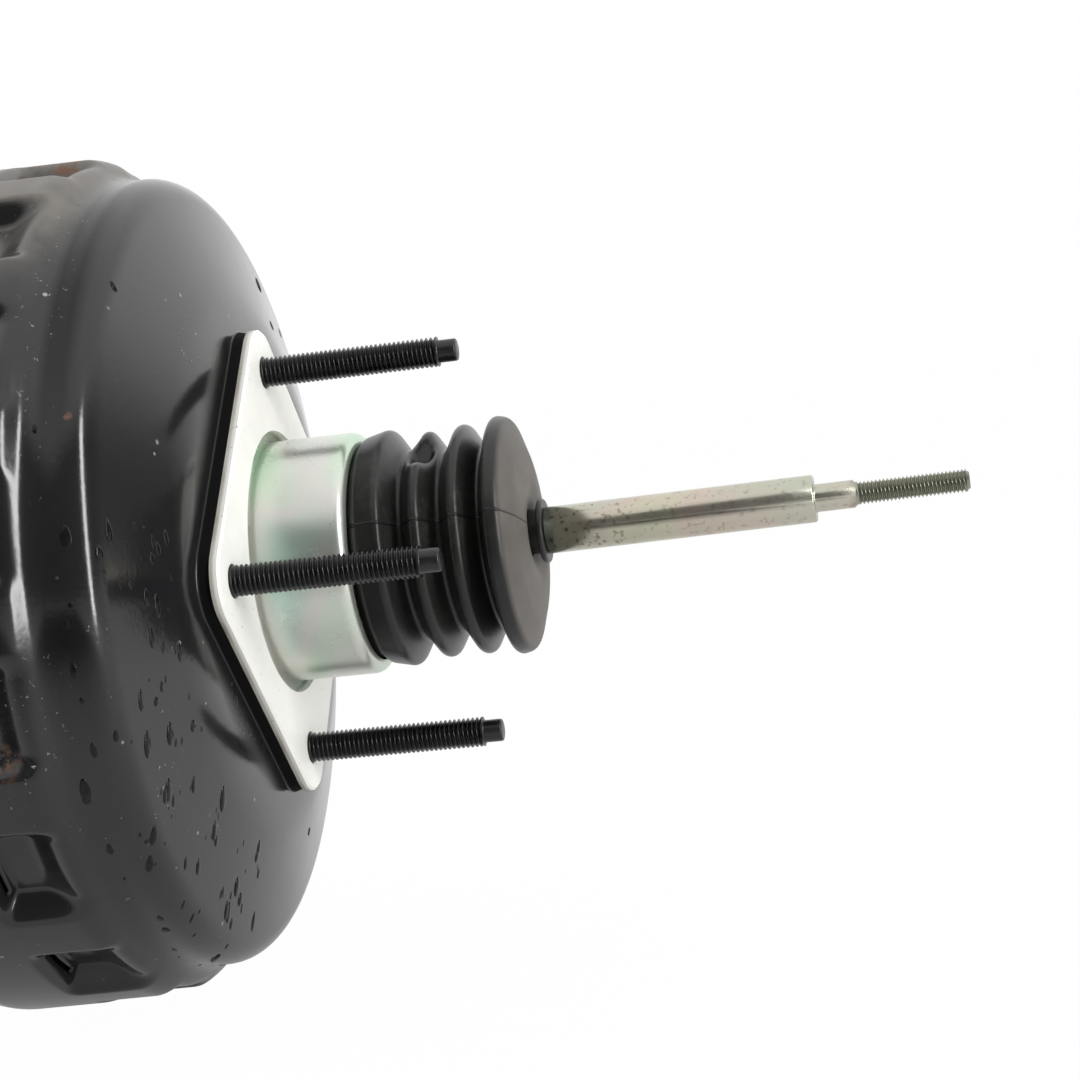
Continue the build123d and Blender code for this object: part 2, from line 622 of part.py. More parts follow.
def stop_key():
    """Forked key across the valve body, straddling the plunger's groove."""
    bottom_z = -KEY_GROOVE_R - KEY_FOOT
    height = KEY_TOP_Z - bottom_z
    plate = Pos(KEY_X + KEY_T / 2, 0, bottom_z + height / 2) * Box(KEY_T, KEY_WIDTH, height)
    plate = fillet(plate.edges().filter_by(Axis.X), KEY_CORNER)
    gap = KEY_GROOVE_R + KEY_PLAY
    fork = cylinder(KEY_X, KEY_X + KEY_T, gap)
    fork += Pos(KEY_X + KEY_T / 2, 0, bottom_z / 2) * Box(KEY_T, 2 * gap, -bottom_z)
    return plate - fork


def plunger():
    """Air valve: nose, key groove, head with its seating lip, and the socket for the rod's ball."""
    groove_x = KEY_X - KEY_PLAY
    face = section(
        (PLUNGER_NOSE_X, 0),
        (PLUNGER_NOSE_X, PLUNGER_R),
        (groove_x, PLUNGER_R),
        (groove_x, KEY_GROOVE_R),
        (groove_x + KEY_GROOVE_LENGTH, KEY_GROOVE_R),
        (groove_x + KEY_GROOVE_LENGTH, PLUNGER_R),
        (PLUNGER_HEAD_X, PLUNGER_R),
        (PLUNGER_HEAD_X, PLUNGER_HEAD_R),
        (PLUNGER_LIP_X, PLUNGER_HEAD_R),
        (PLUNGER_LIP_X, PLUNGER_HEAD_R - LIP_WIDTH),
        (PLUNGER_LIP_X - LIP_DEPTH, PLUNGER_HEAD_R - LIP_DEPTH - SOFT_GAP),
        (PLUNGER_LIP_X - LIP_DEPTH, 0),
    )
    return turn(face) - Pos(BALL_X, 0, 0) * Sphere(BALL_R + SLIDE_GAP)


def poppet_valve():
    """Rubber valve disc on a thin sleeve, with a bead clamped by its retainer."""
    x0 = PLUNGER_LIP_X + SEAT_GAP
    disc_r = SEAT_LIP_R + 2 * SOFT_GAP
    sleeve_r = POPPET_SLEEVE_R + POPPET_SLEEVE_T
    bead_r = POPPET_BORE_R - SOFT_GAP
    face = section(
        (x0, POPPET_BORE),
        (x0, disc_r),
        (x0 + POPPET_T, disc_r),
        (x0 + POPPET_T, sleeve_r),
        (POPPET_BEAD_X, sleeve_r),
        (POPPET_BEAD_X, bead_r),
        (POPPET_BEAD_X + POPPET_T, bead_r),
        (POPPET_BEAD_X + POPPET_T, POPPET_SLEEVE_R),
        (x0 + POPPET_T / 2, POPPET_SLEEVE_R),
    )
    return turn(face)


def poppet_spring():
    x0 = PLUNGER_LIP_X + SEAT_GAP + POPPET_T + SEAT_GAP
    return coil(x0, POPPET_BEAD_X - SEAT_GAP, POPPET_SPRING_R, POPPET_WIRE_R, POPPET_TURNS)


def poppet_retainer():
    """Stepped cup between the poppet's bead and the rod's spring."""
    seat_x = POPPET_STEP_X + SEAT_GAP
    retainer = ring(seat_x - RETAINER_T / 3, seat_x, RETAINER_BORE_R, POPPET_BORE_R - SEAT_GAP)
    retainer += ring(seat_x, seat_x + RETAINER_T, RETAINER_BORE_R, TAIL_BORE_R - SEAT_GAP)
    return retainer


def rod_return_spring():
    x0 = POPPET_STEP_X + RETAINER_T + 2 * SEAT_GAP
    return coil(x0, ROD_FLANGE_X - SEAT_GAP, ROD_SPRING_R, ROD_WIRE_R, ROD_TURNS)


def silencer():
    return ring(SILENCER_X, SILENCER_X + SILENCER_T, FILTER_BORE_R, TAIL_BORE_R - SOFT_GAP)


def air_filter():
    return ring(FILTER_X, FILTER_X + FILTER_T, FILTER_BORE_R, TAIL_BORE_R - SOFT_GAP)


def filter_retainer():
    x0 = FILTER_X + FILTER_T + FILTER_LAYER_GAP
    return ring(x0, x0 + FILTER_RETAINER_T, FILTER_BORE_R + FILTER_RETAINER_T, TAIL_BORE_R - SEAT_GAP)


# ---------------------------------------------------------------- diaphragm, return spring, output rod
def backing_points(gap):
    """Corners of the line between the backing plate and the rubber, moved off by the gap."""
    hub_x = PISTON_FLANGE_X - DIAPHRAGM_T - 2 * SEAT_GAP + gap
    dish_x = hub_x + BACKING_DISH
    rim_r = BACKING_RIM_R + gap
    return [
        (hub_x, PISTON_HUB_R + SEAT_GAP),
        (hub_x, BACKING_DISH_R),
        (dish_x, BACKING_RISE_R),
        (dish_x, rim_r),
    ]


def diaphragm_plate():
    points = backing_points(0)
    dish_x, rim_r = points[-1]
    points.append((dish_x - BACKING_RIM_LENGTH, rim_r))
    return turn(sheet_section(points, [FOLD_R, FOLD_R, FOLD_R], -BACKING_T))


def diaphragm():
    """Rolling rubber diaphragm with its outer bead."""
    points = backing_points(SEAT_GAP)
    rim_r = points[-1][1]
    bead_x = RIM_X + SEAT_GAP
    roll_r = FRONT_R - SHEET - BEAD_EDGE
    roll_x = bead_x - ROLL_DEPTH
    points += [(roll_x, rim_r), (roll_x, roll_r), (bead_x + 1, roll_r)]
    rubber = turn(sheet_section(points, [FOLD_R, FOLD_R, FOLD_R + SEAT_GAP, FOLD_R, FOLD_R], DIAPHRAGM_T))
    bead = section(
        (bead_x, BEAD_INNER_R),
        (bead_x, BEAD_OUTER_R),
        (bead_x + BEAD_EDGE, BEAD_OUTER_R),
        (bead_x + BEAD_LENGTH, BEAD_OUTER_R - BEAD_CHAMFER),
        (bead_x + BEAD_LENGTH, BEAD_INNER_R),
    )
    return rubber + turn(bead)


def return_spring():
    x0 = MC_SEAT_X + SEAT_GAP
    x1 = PISTON_FLANGE_X - DIAPHRAGM_T - BACKING_T - 3 * SEAT_GAP
    return coil(x0, x1, RETURN_SPRING_R, RETURN_WIRE_R, RETURN_TURNS)


def reaction_disc():
    x1 = REACTION_X - SEAT_GAP
    return cylinder(x1 - REACTION_T, x1, REACTION_R)


def output_rod():
    head_x = REACTION_X - REACTION_T - 2 * SEAT_GAP
    rod = cylinder(head_x - OUTPUT_HEAD_T, head_x, REACTION_R)
    rod += cylinder(OUTPUT_END_X, head_x - OUTPUT_HEAD_T, OUTPUT_R)
    return rod


def rod_retainer():
    x1 = REACTION_X - REACTION_T - OUTPUT_HEAD_T - 3 * SEAT_GAP
    return ring(x1 - OUTPUT_CLIP_T, x1, OUTPUT_R + 2 * SOFT_GAP, REACTION_R)


def output_rod_tip():
    """Adjusting screw's hexagon and rounded nose."""
    hexagon = Plane.YZ.offset(OUTPUT_END_X) * RegularPolygon(TIP_HEX / 2, 6, major_radius=False)
    tip = extrude(hexagon, amount=-TIP_HEX_T)
    nose = cylinder(TIP_END_X, OUTPUT_END_X - TIP_HEX_T, TIP_R)
    tip += fillet(nose.edges().group_by(Axis.X)[0], TIP_ROUND)
    return tip


# ---------------------------------------------------------------- front shell
def front_section(thickness):
    """The front shell's section beside its outer line, from the hole to the rim."""
    points = [
        (FRONT_FACE_X, FRONT_HOLE_R),
        (FRONT_FACE_X, FRONT_FLAT_R),
        (FRONT_CORNER_X, FRONT_R),
        (RIM_X, FRONT_R),
    ]
    return sheet_section(points, [FRONT_FACE_ROUND, FRONT_SHOULDER_R], thickness)


def front_shell():
    shell = turn(front_section(SHEET))
    rim_front_x = RIM_X - SHEET
    shell += ring(rim_front_x, RIM_X, FRONT_R - SHEET, FRONT_R + RIM_STEP)
    tab_height = TAB_R - FRONT_R + SHEET
    tab_width = 2 * TAB_R * tan(radians(TAB_SPAN / 2))
    tab = Pos(RIM_X - SHEET / 2, 0, TAB_R - tab_height / 2) * Box(SHEET, tab_width, tab_height)
    shell += [place * tab for place in around(LUGS, 180 / LUGS)]
    boss_end_x = FRONT_CORNER_X
    shell -= VALVE_PLACE * cylinder(BOSS_X, boss_end_x, BOSS_R)
    boss = cylinder(BOSS_X, boss_end_x, BOSS_R) - cylinder(BOSS_X + SHEET, boss_end_x, BOSS_R - SHEET)
    shell += VALVE_PLACE * boss - front_hollow()
    shell -= VALVE_PLACE * cylinder(BOSS_X, BOSS_X + SHEET, GROMMET_HOLE_R)
    shell -= mc_stud_holes()
    return shell


def front_hollow():
    """The space inside the front shell, which the boss doesn't enter."""
    face = section(
        (FRONT_INNER_X, 0),
        (FRONT_INNER_X, FRONT_FLAT_R),
        (FRONT_CORNER_X + SHEET, FRONT_R - SHEET),
        (RIM_X, FRONT_R - SHEET),
        (RIM_X, 0),
    )
    return turn(face)


def mc_stud_places():
    return [Pos(0, side * MC_STUD_SPACING / 2, 0) for side in (-1, 1)]


def mc_stud_holes():
    hole = cylinder(FRONT_FACE_X, MC_SEAT_X, STUD_SHANK_R + SEAT_GAP)
    return [place * hole for place in mc_stud_places()]


def front_reinforcement():
    plate = ring(FRONT_INNER_X, MC_SEAT_X, FRONT_HOLE_R + SEAT_GAP, FRONT_REINFORCE_R)
    return plate - mc_stud_holes()


def master_cylinder_studs():
    stud = cylinder(MC_SEAT_X, MC_SEAT_X + STUD_HEAD_T, STUD_HEAD_R)
    stud += cylinder(FRONT_FACE_X, MC_SEAT_X, STUD_SHANK_R)
    thread = cylinder(FRONT_FACE_X - MC_STUD_LENGTH, FRONT_FACE_X, STUD_R)
    stud += chamfer(thread.edges().group_by(Axis.X)[0], MC_STUD_CHAMFER)
    return Compound([place * stud for place in mc_stud_places()])


def front_seal():
    """Seal between the front shell's hole and the output rod."""
    outer_r = FRONT_HOLE_R - SOFT_GAP
    lip_r = OUTPUT_R + SOFT_GAP
    back_x = FRONT_FACE_X + FRONT_SEAL_LENGTH
    web_x = FRONT_FACE_X + FRONT_SEAL_LENGTH / 3
    face = section(
        (FRONT_FACE_X, FRONT_LIP_R),
        (FRONT_FACE_X, outer_r),
        (back_x, outer_r),
        (back_x, outer_r - FRONT_SEAL_WALL),
        (web_x + FRONT_LIP_T, FRONT_LIP_R),
        (back_x, lip_r),
        (back_x - FRONT_LIP_T, lip_r),
        (web_x, FRONT_LIP_R - FRONT_SEAL_WALL),
    )
    return turn(face)


def front_seal_retainer():
    outer_r = RETURN_SPRING_R - RETURN_WIRE_R - SOFT_GAP
    cap_x = MC_SEAT_X + FRONT_RETAINER_T
    retainer = ring(MC_SEAT_X, cap_x, FRONT_HOLE_R + SOFT_GAP, outer_r)
    retainer += ring(cap_x, cap_x + FRONT_RETAINER_T, FRONT_RETAINER_BORE_R, outer_r)
    return retainer


# ---------------------------------------------------------------- vacuum check valve
def check_valve_grommet():
    back_x = BOSS_X + SHEET
    grommet = ring(BOSS_X - GROMMET_LIP_T, BOSS_X, GROMMET_BORE_R, GROMMET_R)
    grommet += ring(BOSS_X, back_x, GROMMET_BORE_R, GROMMET_HOLE_R)
    grommet += ring(back_x, back_x + GROMMET_INNER_T, GROMMET_BORE_R, GROMMET_R - SHEET)
    return VALVE_PLACE * grommet


def check_valve_base():
    """Floor of the valve's chamber, on a stem through the grommet."""
    stem_r = GROMMET_BORE_R - SEAT_GAP
    floor_front_x = BOSS_X - GROMMET_LIP_T
    base = ring(VALVE_FLOOR_X, BOSS_X + STEM_LENGTH, stem_r - STEM_WALL, stem_r)
    base += ring(VALVE_FLOOR_X, floor_front_x, stem_r - STEM_WALL, CHAMBER_R + CHAMBER_WALL)
    return VALVE_PLACE * base


def check_valve_cover():
    """Chamber with the hose nipple standing up from its side."""
    outer_r = CHAMBER_R + CHAMBER_WALL
    root_z = outer_r + NIPPLE_ROOT_LENGTH
    top_z = outer_r + NIPPLE_LENGTH
    nipple = Pos(0, 0, top_z / 2) * Cylinder(NIPPLE_R, top_z)
    nipple = chamfer(nipple.edges().group_by(Axis.Z)[-1], NIPPLE_CHAMFER)
    nipple += Pos(0, 0, root_z / 2) * Cylinder(NIPPLE_ROOT_R, root_z)
    bore = Pos(0, 0, top_z / 2) * Cylinder(NIPPLE_BORE_R, top_z)
    middle_x = (VALVE_FLOOR_X + CHAMBER_END_X) / 2
    cover = cylinder(CHAMBER_END_X - CHAMBER_WALL, VALVE_FLOOR_X, outer_r)
    cover += Pos(middle_x, 0, 0) * nipple
    cover -= ring(VALVE_FLOOR_X, VALVE_FLOOR_X + CHAMBER_WALL, 0, outer_r)
    cover -= cylinder(CHAMBER_END_X, VALVE_FLOOR_X, CHAMBER_R)
    cover -= Pos(middle_x, 0, 0) * bore
    return VALVE_PLACE * cover


def check_valve_disc():
    seat_x = VALVE_FLOOR_X - SEAT_GAP
    back_x = seat_x - VALVE_DISC_T
    disc = cylinder(back_x, seat_x, VALVE_DISC_R)
    disc += cylinder(back_x - VALVE_PIP_LENGTH, back_x, VALVE_PIP_R)
    return VALVE_PLACE * disc


def check_valve_spring():
    x0 = CHAMBER_END_X + SEAT_GAP
    x1 = VALVE_FLOOR_X - VALVE_DISC_T - 2 * SEAT_GAP
    return VALVE_PLACE * coil(x0, x1, VALVE_SPRING_R, VALVE_WIRE_R, VALVE_TURNS)


PARTS = [
    rear_shell, mounting_plate, mounting_studs, rear_reinforcement, neck_sleeve, hub_bush, hub_seal,
    seal_retainer, dust_boot, boot_collar, input_rod, plunger, valve_body, stop_key, poppet_valve,
    poppet_spring, poppet_retainer, rod_return_spring, silencer, air_filter, filter_retainer,
    diaphragm, diaphragm_plate, return_spring, reaction_disc, output_rod, rod_retainer,
    output_rod_tip, front_shell, front_reinforcement, master_cylinder_studs, front_seal,
    front_seal_retainer, check_valve_grommet, check_valve_base, check_valve_cover,
    check_valve_disc, check_valve_spring,
]

os.makedirs("parts", exist_ok=True)
for make in PARTS:
    export_step(make(), f"parts/{make.__name__}.step")
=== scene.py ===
"""Looks of the vacuum brake booster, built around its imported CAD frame.

Lengths are written in millimetres and turned into metres where a mesh is made. The booster's axis is X,
+X is the pedal side and +Z is up, as in the frame.
"""
import json
from math import cos, pi, radians, sin, sqrt, tan
from random import Random

import bmesh
import bpy
import numpy as np
from mathutils import Matrix, Vector

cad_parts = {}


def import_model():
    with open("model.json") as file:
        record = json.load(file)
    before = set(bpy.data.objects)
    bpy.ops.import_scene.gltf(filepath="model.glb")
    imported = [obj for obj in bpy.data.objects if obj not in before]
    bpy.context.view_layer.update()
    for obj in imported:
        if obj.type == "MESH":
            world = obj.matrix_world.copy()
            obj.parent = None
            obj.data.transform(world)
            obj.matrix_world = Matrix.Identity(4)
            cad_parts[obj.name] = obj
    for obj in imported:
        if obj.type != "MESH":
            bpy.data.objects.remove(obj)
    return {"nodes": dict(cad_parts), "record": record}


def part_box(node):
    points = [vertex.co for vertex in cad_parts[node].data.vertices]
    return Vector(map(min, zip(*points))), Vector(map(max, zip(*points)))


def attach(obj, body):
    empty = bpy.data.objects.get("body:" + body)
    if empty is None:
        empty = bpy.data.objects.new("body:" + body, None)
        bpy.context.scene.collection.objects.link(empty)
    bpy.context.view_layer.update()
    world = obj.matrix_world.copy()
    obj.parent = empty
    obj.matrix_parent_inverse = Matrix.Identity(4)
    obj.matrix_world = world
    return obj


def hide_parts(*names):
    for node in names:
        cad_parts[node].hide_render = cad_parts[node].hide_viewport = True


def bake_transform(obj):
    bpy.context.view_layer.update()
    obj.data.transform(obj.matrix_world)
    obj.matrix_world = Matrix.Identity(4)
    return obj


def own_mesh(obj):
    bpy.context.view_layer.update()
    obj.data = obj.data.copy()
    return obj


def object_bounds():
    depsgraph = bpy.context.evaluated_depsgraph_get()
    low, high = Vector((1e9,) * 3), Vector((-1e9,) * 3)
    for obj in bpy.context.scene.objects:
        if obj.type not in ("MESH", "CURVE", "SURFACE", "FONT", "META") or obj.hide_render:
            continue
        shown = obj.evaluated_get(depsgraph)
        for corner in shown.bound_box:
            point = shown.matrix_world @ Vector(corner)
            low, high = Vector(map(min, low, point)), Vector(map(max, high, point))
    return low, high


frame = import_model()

cad_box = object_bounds()
MM = 0.001


def node_box(name):
    """A CAD node's lowest and highest corners in millimetres."""
    low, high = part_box(name)
    return Vector(low) / MM, Vector(high) / MM


# ---------------------------------------------------------------- sizes, in millimetres
PLATE_LOW, PLATE_HIGH = node_box("mounting_plate")
STUD_LOW, STUD_HIGH = node_box("mounting_studs")
MC_STUD_LOW, MC_STUD_HIGH = node_box("master_cylinder_studs")
NECK_LOW, NECK_HIGH = node_box("neck_sleeve")
FRONT_LOW = node_box("front_seal")[0]

STUD_R = 4.0
STUD_PITCH = 1.25
STUD_HEAD_R = 7.5
STUD_CIRCLE_R = STUD_HIGH.z - STUD_HEAD_R
STUD_SHANK_R = 4.3
STUD_HEAD_T = 3.0
DOG_R = 3.0
DOG_LENGTH = 5.2
THREAD_DEPTH = 0.61      # of the pitch
MC_STUD_Y = MC_STUD_HIGH.y - STUD_HEAD_R

PAD_X = PLATE_LOW.x
PAD_HEIGHT = 3.1
PAD_HALF = 47.3
PAD_CORNER = 12.5
PAD_ROUND = 0.3          # how far inside its outline the pad's top edge starts to fall
PAD_SLOPE = 1.0          # and how far outside it reaches the drum's face
PAD_INNER_R = 43.0       # circles between which the mesh follows the pad's outline
PAD_OUTER_R = 72.0
FLANGE_SEAT_R = 40.6
FLANGE_SEAT_X = NECK_LOW.x - 0.1

SHEET = 1.8
FACE_X = PAD_X - PAD_HEIGHT
DRUM_HOLE_R = 30.9
DRUM_LINE = [
    (FACE_X, DRUM_HOLE_R), (FACE_X, 66.0), (-17.0, 105.5), (-29.5, 105.5),
    (-36.0, 112.6), (-79.0, 113.44), (-87.0, 109.5), (-87.0, 104.2),
]
DRUM_RADII = [60.0, 8.4, 8.2, 8.2, 14.0, 4.0]
LUGS = 16
LUG_R = 113.0
RAMP_FOOT_X = -28.5
POCKET_BACK_X = -30.5
POCKET_BACK_SLOPE = 16.0
POCKET_FRONT_X = -53.0
POCKET_FRONT_SLOPE = 4.2
POCKET_FLOOR_R = 106.2
POCKET_HALF = 9.4
POCKET_SIDE_SLOPE = 6.2
SLIT_X = -54.6
SLIT_WIDTH = 1.1
SLIT_HALF = 8.8
RUST_SPOTS = [((-44, -7.5, 110.0), 5.5), ((-43, -101, -34), 7.0), ((-20.5, -95.3, 45.6), 1.5)]

DROP_SEED = 7
DROP_COUNT = 120
DROP_HEIGHT = 0.28       # of the drop's width
DROP_SINK = 0.04         # how far its edge lies inside the paint
DROP_INNER_R = 74        # no drops nearer to the axis
DROP_RINGS = 5
DROP_STEPS = 14

ROD_PIVOT_X = 8.5
ROD_TILT = radians(0.7)
ROD_BALL_R = 6
ROD_BALL_END = radians(134)
ROD_R = 6.2
ROD_PITCH = 1.0
ROD_THREAD_R = 3.0
ROD_THREAD_X = 152.8
ROD_THREAD_END_X = 181.0
ROD_LINE = [
    (30.0, 4.2), (30.0, 5.0), (40.0, 5.0),                                  # neck and core
    (40.0, 9.4), (41.5, 9.4), (41.5, 5.0), (71.2, 5.0),                     # flange and core
    (71.2, 5.9), (71.5, ROD_R), (141.7, ROD_R), (142.1, ROD_R - 0.4),       # shank
    (142.1, 3.9), (142.6, 3.65), (152.0, 3.65), (152.7, ROD_THREAD_R),      # waist
]
ROD_TIP = [(ROD_THREAD_END_X, 2.55), (181.7, 2.1), (181.75, 1.9), (181.75, 0)]

BOOT_T = 1.5
BOOT_BEAD_X = 18.0
BOOT_BEAD_R = 28.4
BOOT_MOUTH_X = NECK_HIGH.x
BOOT_LAST_CREST_X = 62.6
BOOT_LAST_CREST_R = 31.4
BOOT_SPLIT_X = 57.8      # last valley, where the boot's two pieces meet
CRESTS = [(32.8, 30.9), (42.2, 30.9), (52.4, 31.4)]
VALLEYS = [(37.3, 25.0), (47.4, 24.0), (BOOT_SPLIT_X, 23.4)]
CREST_ROUND = 1.7
VALLEY_ROUND = 1.0
DISC_LINE = [(60.7, 31.9), (64.5, 31.0), (67.2, 23.0), (68.5, 13.5), (67.0, 6.1), (64.6, 6.1)]
DISC_RADII = [1.6, 2.6, 14.0, 10.0, 1.0]
DENT_ANGLE = 0.34        # radians from the top, towards -Y
DENT_WIDTH = 0.27        # radians
DENT_X = CRESTS[1][0]
DENT_LENGTH = 4.2
DENT_DEPTH = 7.5
SEAM_ANGLE = 1.26        # mould line, radians from the top, towards -Y

LINE_STEP = 0.05         # fine steps along a profile before its rows are picked


# ---------------------------------------------------------------- mesh helpers
def smooth(low, high, value):
    """0 below low, 1 above high, and a soft step between them."""
    t = np.clip((np.asarray(value, dtype=float) - low) / (high - low), 0, 1)
    return t * t * (3 - 2 * t)


def rounded(points, radii, step):
    """A polyline's points with its inner corners rounded, spaced by about step."""
    line = [Vector(points[0])]
    for before, corner, after, radius in zip(points, points[1:], points[2:], radii):
        corner = Vector(corner)
        back = (Vector(before) - corner).normalized()
        ahead = (Vector(after) - corner).normalized()
        half = back.angle(ahead) / 2
        reach = radius / tan(half)
        centre = corner + (back + ahead).normalized() * (radius / sin(half))
        first = corner + back * reach - centre
        last = corner + ahead * reach - centre
        sweep = first.angle_signed(last)
        count = max(4, int(abs(sweep) * radius / step))
        for k in range(count + 1):
            turned = Matrix.Rotation(-sweep * k / count, 2) @ first
            line.append(centre + turned)
    line.append(Vector(points[-1]))
    return np.array([tuple(point) for point in line])


def spaced(line, spacing):
    """The line's points, resampled so that neighbours are spacing(x, r) apart."""
    runs = np.hypot(*np.diff(line, axis=0).T)
    at = np.concatenate([[0], np.cumsum(runs)])
    fine = np.arange(0, at[-1], LINE_STEP)
    x = np.interp(fine, at, line[:, 0])
    r = np.interp(fine, at, line[:, 1])
    density = np.cumsum(LINE_STEP / spacing(x, r))
    count = int(density[-1]) + 2
    pick = np.interp(np.linspace(density[0], density[-1], count), density, fine)
    return np.interp(pick, at, line[:, 0]), np.interp(pick, at, line[:, 1])


def new_object(name, vertices, faces, sharp=40.0):
    """A smooth-shaded mesh object, from vertices in millimetres."""
    mesh = bpy.data.meshes.new(name)
    mesh.from_pydata([tuple(v) for v in np.asarray(vertices) * MM], [], faces)
    tidy = bmesh.new()
    tidy.from_mesh(mesh)
    bmesh.ops.remove_doubles(tidy, verts=tidy.verts, dist=1e-7)
    bmesh.ops.recalc_face_normals(tidy, faces=tidy.faces)
    tidy.to_mesh(mesh)
    tidy.free()
    mesh.shade_smooth()
    mesh.set_sharp_from_angle(angle=radians(sharp))
    piece = bpy.data.objects.new(name, mesh)
    bpy.context.scene.collection.objects.link(piece)
    return piece


def grid_faces(rows, around, keep=None):
    """Quads of a grid that closes round the axis. keep(row, column) may leave some out."""
    faces = []
    for i in range(rows - 1):
        here, below = i * around, (i + 1) * around
        for j in range(around):
            if keep is None or keep(i, j):
                beside = (j + 1) % around
                faces.append((here + j, here + beside, below + beside, below + j))
    return faces


def turned(x, r, angle):
    """Grid points from rows of x and r, turned to the angles from +Z towards -Y."""
    return np.stack([x, -r * np.sin(angle), r * np.cos(angle)], axis=-1).reshape(-1, 3)


def lathe(name, profile, around, radius=None, sharp=40.0):
    """A turned piece. radius(x, r, angle) may bend the surface."""
    x = np.repeat(np.array([p[0] for p in profile])[:, None], around, axis=1)
    r = np.repeat(np.array([p[1] for p in profile])[:, None], around, axis=1)
    angle = np.repeat(np.linspace(0, 2 * pi, around, endpoint=False)[None, :], len(profile), axis=0)
    if radius:
        r = radius(x, r, angle)
    return new_object(name, turned(x, r, angle), grid_faces(len(profile), around), sharp)


def threaded(x0, x1, r, pitch):
    """Profile rows and a radius function for a thread between x0 and x1, run out at both ends."""
    rows = np.arange(x0, x1, pitch / 10)
    depth = THREAD_DEPTH * pitch

    def cut(x, base, angle):
        phase = (x / pitch - angle / (2 * pi)) % 1
        groove = np.clip(1.3 * (1 - np.abs(2 * phase - 1)) - 0.12, 0, 1)
        ends = smooth(x0, x0 + pitch, x) * smooth(x1, x1 - pitch * 0.6, x)
        inside = (x > x0) & (x < x1)
        return np.where(inside, base - depth * groove * ends, base)

    return [(x, r) for x in rows], cut


